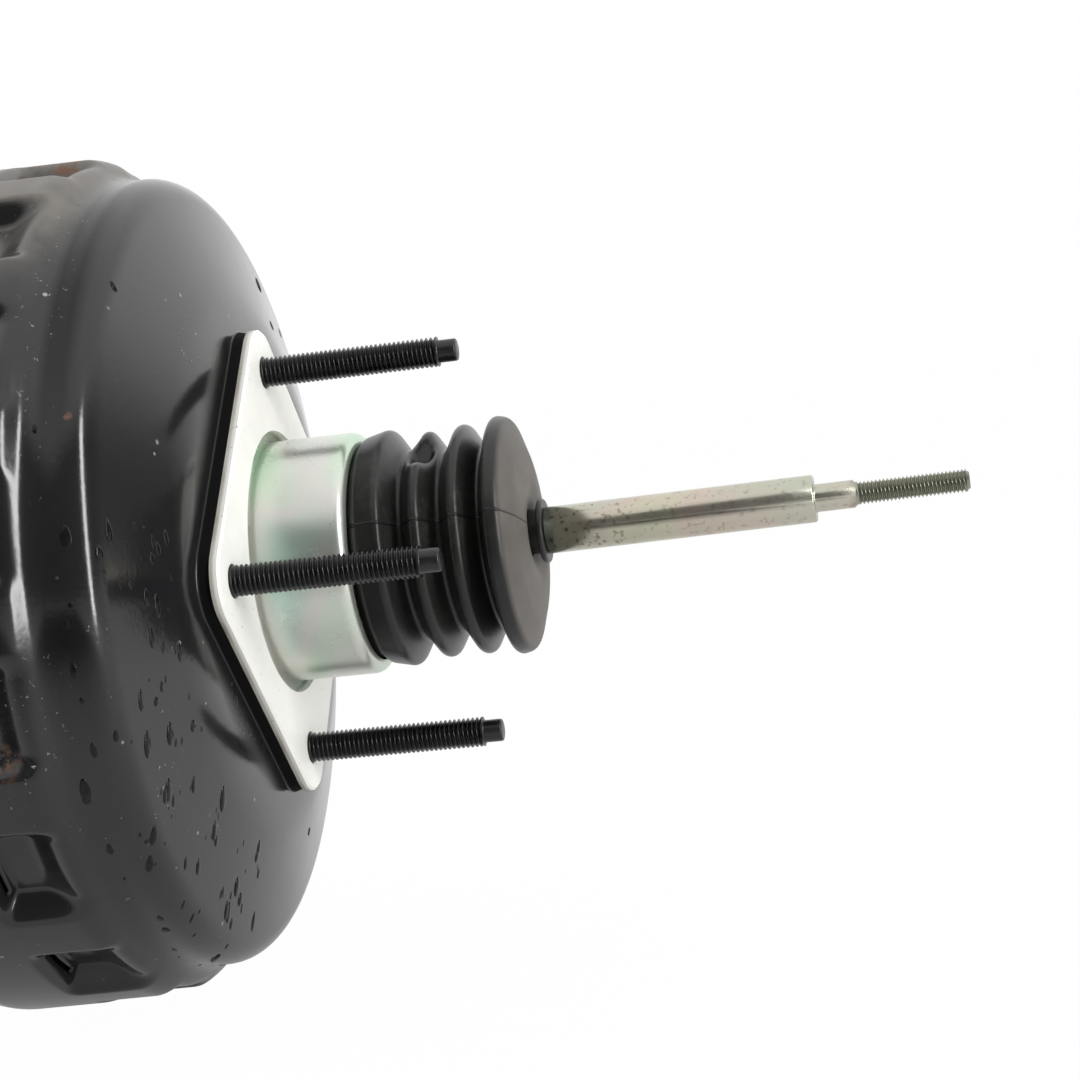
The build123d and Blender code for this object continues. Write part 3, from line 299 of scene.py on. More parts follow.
# ---------------------------------------------------------------- materials
class Shader:
    """A node material with a few short-cuts for procedural detail."""

    def __init__(self, name, **fixed):
        self.material = bpy.data.materials.new(name)
        self.material.use_nodes = True
        self.tree = self.material.node_tree
        self.bsdf = self.tree.nodes["Principled BSDF"]
        for socket, value in fixed.items():
            self.bsdf.inputs[socket.replace("_", " ")].default_value = value
        self.place = self.add("ShaderNodeTexCoord").outputs["Object"]

    def add(self, kind, **settings):
        node = self.tree.nodes.new(kind)
        for key, value in settings.items():
            setattr(node, key, value)
        return node

    def feed(self, node, socket, value):
        if hasattr(value, "links"):
            self.tree.links.new(value, node.inputs[socket])
        else:
            node.inputs[socket].default_value = value

    def stretched(self, scale):
        node = self.add("ShaderNodeMapping")
        self.feed(node, "Vector", self.place)
        self.feed(node, "Scale", scale)
        return node.outputs["Vector"]

    def noise(self, scale, detail=3.0, roughness=0.5, vector=None, distortion=0.0):
        node = self.add("ShaderNodeTexNoise")
        self.feed(node, "Vector", vector or self.place)
        self.feed(node, "Scale", scale)
        self.feed(node, "Detail", detail)
        self.feed(node, "Roughness", roughness)
        self.feed(node, "Distortion", distortion)
        return node.outputs["Fac"]

    def cells(self, scale):
        node = self.add("ShaderNodeTexVoronoi")
        self.feed(node, "Vector", self.place)
        self.feed(node, "Scale", scale)
        return node.outputs["Distance"]

    def ramp(self, value, *stops):
        node = self.add("ShaderNodeValToRGB")
        self.feed(node, "Fac", value)
        spots = node.color_ramp.elements
        while len(spots) < len(stops):
            spots.new(0.5)
        for spot, (where, colour) in zip(spots, stops):
            spot.position = where
            grey = colour if isinstance(colour, tuple) else (colour, colour, colour)
            spot.color = (*grey, 1)
        return node.outputs["Color"]

    def math(self, operation, a, b=0.0, clamp=False):
        node = self.add("ShaderNodeMath", operation=operation, use_clamp=clamp)
        self.feed(node, 0, a)
        self.feed(node, 1, b)
        return node.outputs[0]

    def mix(self, factor, a, b):
        node = self.add("ShaderNodeMix", data_type="RGBA")
        self.feed(node, "Factor", factor)
        for socket, value in (("A", a), ("B", b)):
            colour = (*value, 1) if isinstance(value, tuple) else value
            target = [s for s in node.inputs if s.name == socket and s.type == "RGBA"][0]
            if hasattr(colour, "links"):
                self.tree.links.new(colour, target)
            else:
                target.default_value = colour
        return [s for s in node.outputs if s.type == "RGBA"][0]

    def axis(self, name):
        node = self.add("ShaderNodeSeparateXYZ")
        self.feed(node, "Vector", self.place)
        return node.outputs[name]

    def facing(self, axis, low, high):
        """0 where the normal's share along the axis is under low, 1 above high."""
        node = self.add("ShaderNodeSeparateXYZ")
        self.feed(node, "Vector", self.add("ShaderNodeNewGeometry").outputs["Normal"])
        return self.ramp(node.outputs[axis], (low, 0.0), (high, 1.0))

    def spot(self, place, size):
        """1 inside a soft ball about a place, in millimetres, and 0 outside it."""
        node = self.add("ShaderNodeVectorMath", operation="DISTANCE")
        self.feed(node, 0, self.place)
        self.feed(node, 1, tuple(v * MM for v in place))
        return self.ramp(self.math("DIVIDE", node.outputs["Value"], size * MM), (0.5, 1.0), (1.0, 0.0))

    def span(self, low, high, axis="X"):
        """0 below low and 1 above high along an axis, both in millimetres."""
        node = self.add("ShaderNodeMapRange")
        self.feed(node, "Value", self.axis(axis))
        self.feed(node, "From Min", low * MM)
        self.feed(node, "From Max", high * MM)
        return node.outputs["Result"]

    def band(self, start, first, last, end):
        """1 from first to last along X, and 0 outside start and end, all in millimetres."""
        rise = self.ramp(self.span(start, first), (0.0, 0.0), (1.0, 1.0))
        fall = self.ramp(self.span(last, end), (0.0, 1.0), (1.0, 0.0))
        return self.math("MULTIPLY", rise, fall)

    def out(self, **links):
        for socket, value in links.items():
            self.feed(self.bsdf, socket.replace("_", " "), value)
        return self.material

    def bump(self, height, distance, strength=1.0, base=None):
        node = self.add("ShaderNodeBump")
        self.feed(node, "Height", height)
        self.feed(node, "Distance", distance)
        self.feed(node, "Strength", strength)
        if base is not None:
            self.feed(node, "Normal", base)
        return node.outputs["Normal"]


def black_paint():
    """Glossy black paint with white specks, a film of dust on what faces up, scuffs and a little rust, with
    painted shade on the pad's side under the plate's edge and less sheen painted onto the top of the wall.
    """
    s = Shader("black_paint", Specular_IOR_Level=0.5)
    base = s.ramp(s.noise(14, 4), (0.3, (0.009, 0.009, 0.010)), (0.7, (0.016, 0.016, 0.017)))
    film = s.math("MULTIPLY", s.facing("Z", 0.15, 0.6), s.ramp(s.span(-33, -27), (0.0, 1.0), (1.0, 0.10)))
    film = s.math("MULTIPLY", film, s.ramp(s.axis("Z"), (0.076, 0.0), (0.101, 1.0)))
    film = s.math("MULTIPLY", film, s.ramp(s.noise(90, 6, 0.6), (0.36, 0.30), (0.64, 0.82)))
    base = s.mix(film, base, (0.185, 0.168, 0.145))

    patches = s.ramp(s.noise(34, 3), (0.54, 0.0), (0.68, 1.0))
    foot = s.math("MULTIPLY", s.band(-33, -29, -27, -23), s.ramp(s.axis("Z"), (0.02, 0.0), (0.06, 0.8)))
    patches = s.math("MAXIMUM", patches, foot)
    dust = s.math("MULTIPLY", s.ramp(s.noise(620, 3, 0.6), (0.665, 0.0), (0.71, 0.8)), patches)
    grains = s.ramp(s.cells(210), (0.10, 1.0), (0.16, 0.0))
    grains = s.math("MULTIPLY", grains, s.ramp(s.noise(90, 2), (0.63, 0.0), (0.69, 0.8)))
    dust = s.math("MAXIMUM", dust, grains)
    base = s.mix(dust, base, (0.40, 0.385, 0.35))

    rust = s.ramp(s.noise(420, 3), (0.735, 0.0), (0.76, 0.8))
    rust = s.math("MULTIPLY", rust, s.ramp(s.noise(23, 2), (0.56, 0.0), (0.62, 1.0)))
    for place, size in RUST_SPOTS:
        ragged = s.ramp(s.noise(420, 4, 0.65), (0.44, 0.0), (0.58, 0.75))
        rust = s.math("MAXIMUM", rust, s.math("MULTIPLY", s.spot(place, size), ragged))
    base = s.mix(rust, base, (0.21, 0.10, 0.055))
    # Painted shade: the pad's side, under the plate's edge, is made near black, rougher and less shiny.
    painted_shade_pad_side = s.band(-5.7, -5.2, -2.9, -2.5)
    base = s.mix(painted_shade_pad_side, base, (0.004, 0.004, 0.004))

    rough = s.ramp(s.noise(30, 5, 0.6), (0.25, 0.12), (0.8, 0.21))
    for layer, amount in ((dust, 0.4), (rust, 0.5), (film, 0.45), (painted_shade_pad_side, 0.5)):
        rough = s.math("ADD", rough, s.math("MULTIPLY", layer, amount), clamp=True)
    normal = s.bump(s.noise(700, 2), 0.00004, 0.5)
    normal = s.bump(s.noise(45, 2), 0.0004, 0.16, normal)
    normal = s.bump(dust, 0.00025, 0.6, normal)

    # The sheen is lowered as painted shade: on the pad's side here, and on the top of the wall below.
    shine = s.math("MULTIPLY_ADD", painted_shade_pad_side, -0.45)
    shine.node.inputs[2].default_value = 0.5
    # Painted shade: less sheen on the top of the wall, which darkens its reflections there.
    wall = s.math("MULTIPLY", s.band(-29, -26.5, -22, -19), s.ramp(s.axis("Z"), (0.02, 0.0), (0.07, 1.0)))
    shine = s.math("SUBTRACT", shine, s.math("MULTIPLY", wall, 0.3), clamp=True)
    return s.out(Base_Color=base, Roughness=rough, Normal=normal, Specular_IOR_Level=shine)


def wet_black():
    """Thick dried drops on the black paint."""
    s = Shader("wet_black", Roughness=0.16, Specular_IOR_Level=0.22)
    base = s.ramp(s.noise(500, 2), (0.3, (0.003, 0.003, 0.004)), (0.7, (0.010, 0.010, 0.010)))
    return s.out(Base_Color=base)


def white_zinc():
    """Chalky white plating, brown along the plate's edge."""
    s = Shader("white_zinc", Metallic=0.05)
    cloud = s.noise(35, 5, 0.6)
    base = s.ramp(cloud, (0.3, (0.82, 0.815, 0.76)), (0.55, (0.90, 0.893, 0.85)), (0.8, (0.93, 0.92, 0.885)))
    side = s.ramp(s.span(-1.9, -1.2), (0.0, 0.85), (1.0, 0.0))
    side = s.math("MULTIPLY", side, s.ramp(s.noise(70, 3), (0.35, 0.5), (0.65, 1.0)))
    base = s.mix(side, base, (0.20, 0.17, 0.11))
    specks = s.ramp(s.noise(650, 2), (0.71, 0.0), (0.75, 0.8))
    base = s.mix(specks, base, (0.25, 0.22, 0.17))
    return s.out(
        Base_Color=base,
        Roughness=s.ramp(cloud, (0.3, 0.42), (0.8, 0.55)),
        Normal=s.bump(s.noise(400, 4), 0.00006, 0.5),
    )


def bright_zinc():
    """Bright plating with soft green and grey bands."""
    s = Shader("bright_zinc", Metallic=0.8)
    bands = s.noise(16, 2, 0.5, s.stretched((1.6, 1.0, 1.0)), 0.3)
    base = s.ramp(
        bands,
        (0.32, (0.44, 0.62, 0.49)), (0.46, (0.54, 0.66, 0.53)),
        (0.55, (0.62, 0.61, 0.57)), (0.66, (0.48, 0.62, 0.54)),
    )
    specks = s.ramp(s.noise(800, 2), (0.74, 0.0), (0.78, 0.7))
    base = s.mix(specks, base, (0.16, 0.15, 0.13))
    return s.out(
        Base_Color=base,
        Roughness=s.ramp(s.noise(50, 4), (0.3, 0.24), (0.75, 0.36)),
        Normal=s.bump(s.noise(160, 3), 0.00005, 0.5),
    )


def yellow_zinc():
    """Yellow plating with brown specks, most of them near the collar, and a dull thread."""
    s = Shader("yellow_zinc", Metallic=0.92)
    bands = s.noise(26, 3, 0.5, s.stretched((0.9, 1.0, 1.0)), 0.5)
    base = s.ramp(
        bands,
        (0.32, (0.42, 0.43, 0.33)), (0.46, (0.48, 0.46, 0.36)),
        (0.56, (0.49, 0.42, 0.36)), (0.70, (0.40, 0.44, 0.36)),
    )
    base = s.mix(s.ramp(s.span(74, 92), (0.0, 0.8), (1.0, 0.0)), base, (0.43, 0.46, 0.37))
    near_collar = s.ramp(s.span(71, 98), (0.0, 1.0), (1.0, 0.3))
    thread = s.ramp(s.span(150.5, 153.5), (0.0, 0.0), (1.0, 1.0))
    base = s.mix(thread, base, (0.27, 0.275, 0.22))
    specks = s.ramp(s.noise(620, 3, 0.6), (0.575, 0.0), (0.63, 0.9))
    specks = s.math("MULTIPLY", specks, near_collar)
    base = s.mix(specks, base, (0.10, 0.07, 0.04))
    rough = s.ramp(s.noise(120, 4), (0.3, 0.16), (0.75, 0.27))
    return s.out(
        Base_Color=base,
        Roughness=s.math("ADD", rough, s.math("MULTIPLY", thread, 0.16)),
        Normal=s.bump(s.noise(60, 3, 0.5, s.stretched((1.0, 14.0, 14.0))), 0.00004, 0.6),
    )


def black_stud():
    """Oiled black steel."""
    s = Shader("black_stud", Metallic=0.1)
    tone = s.noise(300, 3)
    return s.out(
        Base_Color=s.ramp(tone, (0.3, (0.003, 0.003, 0.0035)), (0.8, (0.009, 0.009, 0.009))),
        Roughness=s.ramp(tone, (0.3, 0.26), (0.8, 0.42)),
        Normal=s.bump(s.noise(1400, 2), 0.00003, 0.6),
    )


def boot_rubber():
    """Black rubber, a raised mould line along the side, and a brown-grey film on the rear disc."""
    s = Shader("boot_rubber", Specular_IOR_Level=0.38)
    tone = s.noise(25, 5, 0.6)
    base = s.ramp(tone, (0.3, (0.006, 0.006, 0.006)), (0.75, (0.013, 0.013, 0.012)))
    dust = s.ramp(s.noise(380, 4, 0.65), (0.52, 0.0), (0.78, 0.55))
    dust = s.math("MULTIPLY", dust, s.ramp(s.noise(28, 3), (0.48, 0.0), (0.75, 0.7)))
    base = s.mix(dust, base, (0.10, 0.092, 0.082))
    film = s.noise(45, 6, 0.65)
    brown = s.ramp(
        film, (0.3, (0.070, 0.064, 0.058)), (0.55, (0.10, 0.090, 0.080)), (0.8, (0.145, 0.125, 0.106)))
    rear = s.ramp(s.span(61.5, 63.5), (0.0, 0.0), (1.0, 1.0))
    rear = s.math("MULTIPLY", s.facing("X", 0.50, 0.96), rear)
    base = s.mix(rear, base, brown)
    angle = s.math("ARCTAN2", s.math("MULTIPLY", s.axis("Y"), -1.0), s.axis("Z"))
    seam = s.ramp(s.math("ABSOLUTE", s.math("SUBTRACT", angle, SEAM_ANGLE)), (0.004, 1.0), (0.014, 0.0))
    base = s.mix(s.math("MULTIPLY", seam, 0.6), base, (0.004, 0.004, 0.004))
    rough = s.math("ADD", s.ramp(tone, (0.3, 0.27), (0.75, 0.40)), s.math("MULTIPLY", rear, 0.2))
    normal = s.bump(s.noise(700, 3), 0.00008, 0.5)
    normal = s.bump(seam, 0.0005, 1.0, normal)
    return s.out(Base_Color=base, Roughness=rough, Normal=normal)


def plain(name, dark, light, metallic, rough, grain):
    """A moulded, cast or drawn surface between two tones, with a fine grain."""
    s = Shader(name, Metallic=metallic)
    tone = s.noise(60, 4)
    return s.out(
        Base_Color=s.ramp(tone, (0.3, dark), (0.75, light)),
        Roughness=s.ramp(tone, (0.3, rough), (0.75, rough + 0.12)),
        Normal=s.bump(s.noise(grain, 3), 0.00006, 0.5),
    )


MATERIALS = {
    "black_paint": black_paint(),
    "white_zinc": white_zinc(),
    "bright_zinc": bright_zinc(),
    "black_stud": black_stud(),
    "yellow_zinc": yellow_zinc(),
    "boot_rubber": boot_rubber(),
    "black_plastic": plain("black_plastic", (0.005, 0.005, 0.005), (0.012, 0.012, 0.012), 0.0, 0.30, 900),
    "phenolic": plain("phenolic", (0.035, 0.024, 0.018), (0.060, 0.045, 0.035), 0.0, 0.48, 700),
    "spring_steel": plain("spring_steel", (0.26, 0.26, 0.27), (0.42, 0.42, 0.42), 0.9, 0.30, 800),
    "plain_steel": plain("plain_steel", (0.45, 0.45, 0.46), (0.62, 0.62, 0.62), 0.95, 0.24, 800),
    "filter_foam": plain("filter_foam", (0.42, 0.40, 0.33), (0.60, 0.57, 0.48), 0.0, 0.86, 500),
}
for row in frame["record"]["subparts"]:
    node = frame["nodes"][row["node"]]
    node.data.materials.clear()
    node.data.materials.append(MATERIALS[row["material_slot"]])


def finish(piece, body, slot, *nodes, material=None):
    """Give the piece its material, from the slot unless one is given, attach it to its body, and hide the CAD
    nodes that it stands for.
    """
    piece.data.materials.append(material or MATERIALS[slot])
    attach(piece, body)
    if nodes:
        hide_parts(*nodes)
    return piece


# ---------------------------------------------------------------- drum
def pad_offset(y, z):
    """Distance outside the diamond pad's outline, less than 0 inside it."""
    a = np.abs(y + z) / sqrt(2) - (PAD_HALF - PAD_CORNER)
    b = np.abs(y - z) / sqrt(2) - (PAD_HALF - PAD_CORNER)
    outside = np.hypot(np.maximum(a, 0), np.maximum(b, 0)) + np.minimum(np.maximum(a, b), 0)
    return outside - PAD_CORNER


def pad_outline(angle):
    """How far from the axis the pad's outline is at an angle."""
    turn = np.abs(angle % (pi / 2) - pi / 4)
    side = PAD_HALF - PAD_CORNER
    ahead = side * (np.cos(turn) + np.sin(turn))
    corner = ahead + np.sqrt(np.maximum(PAD_CORNER ** 2 - 2 * side ** 2 + ahead ** 2, 0))
    return np.where(PAD_HALF * np.tan(turn) <= side, PAD_HALF / np.cos(turn), corner)


def drum_rows(angle):
    """Grid rows of x and r: the flat ring, rows that follow the pad's outline, and the rest of the drum."""
    line = rounded(DRUM_LINE, DRUM_RADII, 0.4)
    face = line[: np.argmax(line[:, 1] > 98)]
    outline = pad_outline(angle)
    rings = (DRUM_HOLE_R, 34.0, 38.0, FLANGE_SEAT_R - 0.05, FLANGE_SEAT_R + 0.05, PAD_INNER_R)
    radii = [np.full_like(angle, r) for r in rings]
    first = outline - PAD_ROUND - 0.3
    last = outline + PAD_SLOPE + 0.5
    radii += [PAD_INNER_R + (first - PAD_INNER_R) * k / 5 for k in range(1, 5)]
    radii += [first + (last - first) * k / 14 for k in range(15)]
    radii += [last + (PAD_OUTER_R - last) * k / 8 for k in range(1, 9)]
    rows = [(np.interp(r, face[:, 1], face[:, 0]), r) for r in radii]
    rest = line[np.argmax(line[:, 1] > PAD_OUTER_R + 1):]
    pocket_end = POCKET_FRONT_X - POCKET_FRONT_SLOPE
    x_row, r_row = spaced(rest, lambda x, r: np.where((x < RAMP_FOOT_X) & (x > pocket_end), 0.5, 1.3))
    rows += [(np.full_like(angle, x), np.full_like(angle, r)) for x, r in zip(x_row, r_row)]
    return np.array([x for x, r in rows]), np.array([r for x, r in rows])


def drum():
    around = LUGS * 60
    angle_row = np.linspace(0, 2 * pi, around, endpoint=False)
    x, r = drum_rows(angle_row)
    angle = np.repeat(angle_row[None, :], len(x), axis=0)
    lift = PAD_HEIGHT * (1 - smooth(-PAD_ROUND, PAD_SLOPE, pad_offset(-r * np.sin(angle), r * np.cos(angle))))
    x = x + np.where(r < PAD_OUTER_R, lift, 0)
    x = np.where(r < FLANGE_SEAT_R, np.minimum(x, FLANGE_SEAT_X), x)
    lug = 2 * pi / LUGS
    arc = np.abs((angle % lug) - lug / 2) * LUG_R
    along = smooth(POCKET_BACK_X, POCKET_BACK_X - POCKET_BACK_SLOPE, x)
    along = along * smooth(POCKET_FRONT_X - POCKET_FRONT_SLOPE, POCKET_FRONT_X, x)
    across = 1 - smooth(POCKET_HALF, POCKET_HALF + POCKET_SIDE_SLOPE, arc)
    skirt = (x < RAMP_FOOT_X) & (r > POCKET_FLOOR_R)
    r = np.where(skirt, r - (r - POCKET_FLOOR_R) * along * across, r)
    slit = (np.abs(x - SLIT_X) < SLIT_WIDTH / 2) & (arc < SLIT_HALF)

    def keep(i, j):
        return not (slit[i, j] and slit[i + 1, (j + 1) % around])

    piece = new_object("drum", turned(x, r, angle), grid_faces(len(x), around, keep=keep), 50.0)
    finish(piece, "housing", "black_paint", "rear_shell")
    sheet = piece.modifiers.new("sheet", "SOLIDIFY")
    sheet.thickness = SHEET * MM
    sheet.offset = -1


drum()


def droplets():
    """Dried drops and short runs of paint on the drum's face and wall."""
    seeds = Random(DROP_SEED)
    line = rounded(DRUM_LINE, DRUM_RADII, 0.4)
    runs = np.hypot(*np.diff(line, axis=0).T)
    at = np.concatenate([[0], np.cumsum(runs)])
    start = at[np.argmax(line[:, 1] > DROP_INNER_R)]
    end = at[np.argmax(line[:, 0] < RAMP_FOOT_X)]
    vertices = []
    faces = []
    for _ in range(DROP_COUNT):
        place = start + (end - start) * seeds.random()
        k = np.searchsorted(at, place)
        spot = line[k - 1] + (line[k] - line[k - 1]) * (place - at[k - 1]) / runs[k - 1]
        tangent = Vector(tuple(line[k] - line[k - 1])).normalized()
        low = seeds.random() < 0.75
        turn = radians(seeds.uniform(78, 165) if low else seeds.uniform(15, 330))
        width = 0.45 + 1.25 * seeds.random() ** 1.6
        length = width * seeds.uniform(1.0, 2.3)
        out = Vector((0, -sin(turn), cos(turn)))
        along = Vector((1, 0, 0)) * tangent.x + out * tangent.y
        across = Vector((0, -cos(turn), -sin(turn)))
        outwards = across.cross(along).dot(out + Vector((1, 0, 0))) > 0
        normal = (across.cross(along) if outwards else along.cross(across)).normalized()
        centre = Vector((spot[0], 0, 0)) + out * spot[1]
        down = Vector((0, 0, -1)) - normal * normal.dot(Vector((0, 0, -1)))
        down = down.normalized() if down.length > 0.2 else along
        side = normal.cross(down)
        base = len(vertices)
        for ring in range(DROP_RINGS):
            tilt = pi / 2 * ring / DROP_RINGS
            for step in range(DROP_STEPS):
                spin = 2 * pi * step / DROP_STEPS
                taper = 1 - 0.35 * (1 - cos(spin)) / 2
                flat = down * (length * cos(spin)) + side * (width * taper * sin(spin))
                rise = DROP_HEIGHT * width * sin(tilt) - DROP_SINK
                vertices.append(centre + flat * cos(tilt) + normal * rise)
        vertices.append(centre + normal * (DROP_HEIGHT * width - DROP_SINK))
        for ring in range(DROP_RINGS - 1):
            here, above = base + ring * DROP_STEPS, base + (ring + 1) * DROP_STEPS
            for step in range(DROP_STEPS):
                beside = (step + 1) % DROP_STEPS
                faces.append((here + step, here + beside, above + beside, above + step))
        top, tip = base + (DROP_RINGS - 1) * DROP_STEPS, base + DROP_RINGS * DROP_STEPS
        for step in range(DROP_STEPS):
            faces.append((top + step, top + (step + 1) % DROP_STEPS, tip))
    piece = new_object("droplets", vertices, faces, 180.0)
    finish(piece, "housing", "black_paint", material=wet_black())


droplets()


# ---------------------------------------------------------------- studs
def stud(name, x_seat, x_start, x_end, dog):
    """One stud along X at the axis: head, shank from x_seat, and thread from x_start."""
    side = 1 if x_end > x_seat else -1
    end = x_end - side * (DOG_LENGTH if dog else 0)
    rows, cut = threaded(min(x_start, end), max(x_start, end), STUD_R, STUD_PITCH)
    if side < 0:
        rows = rows[::-1]
    head = [(x_seat - side * STUD_HEAD_T, 0), (x_seat - side * STUD_HEAD_T, STUD_HEAD_R - 0.5),
            (x_seat - side * (STUD_HEAD_T - 0.5), STUD_HEAD_R), (x_seat, STUD_HEAD_R),
            (x_seat, STUD_SHANK_R), (x_start - side * 0.1, STUD_SHANK_R), (x_start, STUD_R)]
    root = STUD_R - THREAD_DEPTH * STUD_PITCH
    if dog:
        tip = [(end, root + 0.1), (end + side * 0.5, DOG_R), (x_end - side * 0.5, DOG_R),
               (x_end - side * 0.12, DOG_R - 0.2), (x_end, DOG_R - 0.6), (x_end, 0)]
    else:
        tip = [(end - side * 0.1, root + 0.1), (end, root - 0.2), (end, 0)]
    return lathe(name, head + rows + tip, 40, cut, sharp=60.0)


def copies(source, name, places):
    """One mesh object with a copy of the source's mesh at each place, in millimetres."""
    joined = bmesh.new()
    for place in places:
        start = len(joined.verts)
        joined.from_mesh(source.data)
        joined.verts.ensure_lookup_table()
        bmesh.ops.translate(joined, verts=joined.verts[start:], vec=Vector(place) * MM)
    mesh = bpy.data.meshes.new(name)
    joined.to_mesh(mesh)
    joined.free()
    piece = bpy.data.objects.new(name, mesh)
    bpy.context.scene.collection.objects.link(piece)
    bpy.data.objects.remove(source)
    return piece


rear_stud = stud("rear_stud", STUD_LOW.x + STUD_HEAD_T, PLATE_HIGH.x, STUD_HIGH.x, True)
rear_places = [(0, 0, STUD_CIRCLE_R), (0, 0, -STUD_CIRCLE_R), (0, STUD_CIRCLE_R, 0), (0, -STUD_CIRCLE_R, 0)]
finish(copies(rear_stud, "stud_set", rear_places), "housing", "black_stud", "mounting_studs")
front_stud = stud("front_stud", MC_STUD_HIGH.x - STUD_HEAD_T, FRONT_LOW.x, MC_STUD_LOW.x, False)
front_places = [(0, MC_STUD_Y, 0), (0, -MC_STUD_Y, 0)]
finish(copies(front_stud, "front_stud_set", front_places), "housing", "black_stud", "master_cylinder_studs")


# ---------------------------------------------------------------- push rod
def tilted(piece):
    """Lean the piece about the rod's ball, as the rod rests."""
    pivot = Matrix.Translation((ROD_PIVOT_X * MM, 0, 0))
    piece.data.transform(pivot @ Matrix.Rotation(-ROD_TILT, 4, "Y") @ pivot.inverted())
    return piece


def push_rod():
    """Ball, neck, flange, shank, waist and threaded end, turned in one piece."""
    angles = np.linspace(0, ROD_BALL_END, 20)
    ball = [(ROD_PIVOT_X - ROD_BALL_R * cos(a), ROD_BALL_R * sin(a)) for a in angles]
    rows, cut = threaded(ROD_THREAD_X, ROD_THREAD_END_X, ROD_THREAD_R, ROD_PITCH)
    return tilted(lathe("push_rod", ball + ROD_LINE + rows + ROD_TIP, 48, cut, sharp=50.0))


finish(push_rod(), "pedal_rod", "yellow_zinc", "input_rod")


# ---------------------------------------------------------------- dust boot
def bellows():
    """Rows of x and r along the folds, from the bead in the neck to the last crest."""
    points = [(BOOT_BEAD_X, BOOT_BEAD_R), (BOOT_MOUTH_X + 0.3, BOOT_BEAD_R), (BOOT_MOUTH_X + 2.4, 30.3)]
    radii = [1.0, 1.6]
    for crest, valley in zip(CRESTS, VALLEYS):
        points.append((crest[0], crest[1] + 0.5 * CREST_ROUND))
        radii.append(CREST_ROUND)
        points.append((valley[0], valley[1] - 0.5 * VALLEY_ROUND))
        radii.append(VALLEY_ROUND)
    points.append((BOOT_LAST_CREST_X, BOOT_LAST_CREST_R + 0.5 * CREST_ROUND))
    return spaced(rounded(points, radii, 0.3), lambda x, r: np.full_like(x, 0.35))


def boot_radius(x, r, angle):
    """The second fold is pushed in at the top."""
    turn = (angle - DENT_ANGLE + pi) % (2 * pi) - pi
    dent = np.exp(-(turn / DENT_WIDTH) ** 2) * np.exp(-((x - DENT_X) / DENT_LENGTH) ** 2)
    return r - DENT_DEPTH * dent * smooth(24, 30, r)


def boot():
    """The boot's two pieces: its folds, and the last crest with the rear disc."""
    x, r = bellows()
    last = np.argmax(x > BOOT_SPLIT_X) + 1
    around = 240
    body = lathe("boot_bellows", list(zip(x[:last], r[:last])), around, boot_radius, sharp=180.0)
    disc_line = rounded([(x[last - 1], r[last - 1])] + DISC_LINE, DISC_RADII, 0.3)
    disc = lathe("boot_disc", [tuple(p) for p in disc_line], around, sharp=180.0)
    for piece in (body, disc):
        thick = piece.modifiers.new("rubber", "SOLIDIFY")
        thick.thickness = BOOT_T * MM
        thick.offset = -1
        tilted(piece)
    return body, disc


body_piece, disc_piece = boot()
for piece in (body_piece, disc_piece):
    piece.data.materials.append(MATERIALS["boot_rubber"])
    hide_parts("dust_boot")
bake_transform(body_piece)
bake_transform(disc_piece)


# ---------------------------------------------------------------- springs
def coil(name, node, body):
    """A copy of a CAD spring's mesh in its place, attached to a body, with the spring's node hidden."""
    source = frame["nodes"][node]
    piece = bpy.data.objects.new(name, source.data.copy())
    bpy.context.scene.collection.objects.link(piece)
    piece.matrix_world = source.matrix_world.copy()
    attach(piece, body)
    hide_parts(node)
    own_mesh(piece)


coil("return_coil", "return_spring", "housing")
coil("rod_return_coil", "rod_return_spring", "power_piston")
coil("check_valve_coil", "check_valve_spring", "housing")


# ---------------------------------------------------------------- stage, lights and camera, in metres
FLOOR_HALF = 12.0
FLOOR_GAP = 0.0004       # floor under the booster
FLOOR_BASE = 0.72
FLOOR_SEEN = 0.985       # how much plain white the camera sees instead of the lit floor
FLOOR_MIRRORED = 0.35    # and how much of it reflections see

CARD_X = (-1.2, 0.45)
CARD_Y = (-2.4, -0.16)
CARD_GAP = 0.0002
CARD_BASE = 0.02
CARD_FADE = (-520, -160)  # along Y, in millimetres, from black to clear

HORIZON_LEAN_Y = 0.42    # added to the height towards +Y, so the surroundings are brighter there
HORIZON_TILT_X = -0.2    # and towards +X, where they are darker
HORIZON = (0.20, 0.16)   # height and brightness up to which the surroundings are darkest
OVERHEAD = (0.46, 1.2)   # and from which they are brightest

STRIP_LAMP = ((0.95, -0.46, 0.29), (0.17, 0.88), 8.3)  # place, size and watts
TOP_LAMP = ((0.1, 0.2, 1.5), (2.2, 2.2), 1.5)

CAMERA_PLACE = Vector((178.75, -622.69, 43.11))  # in millimetres
CAMERA_RIGHT = Vector((0.97934, 0.16419, -0.11808))
CAMERA_FORWARD = Vector((-0.17320, 0.98237, -0.07045))
CAMERA_LENS = 80.0
CAMERA_SENSOR = 36.0


def flat_sheet(name, xs, ys, gap):
    """A flat rectangle, a gap below the booster."""
    z = cad_box[0][2] - gap
    mesh = bpy.data.meshes.new(name)
    corners = [(xs[0], ys[0], z), (xs[1], ys[0], z), (xs[1], ys[1], z), (xs[0], ys[1], z)]
    mesh.from_pydata(corners, [], [(0, 1, 2, 3)])
    piece = bpy.data.objects.new(name, mesh)
    bpy.context.scene.collection.objects.link(piece)
    return piece


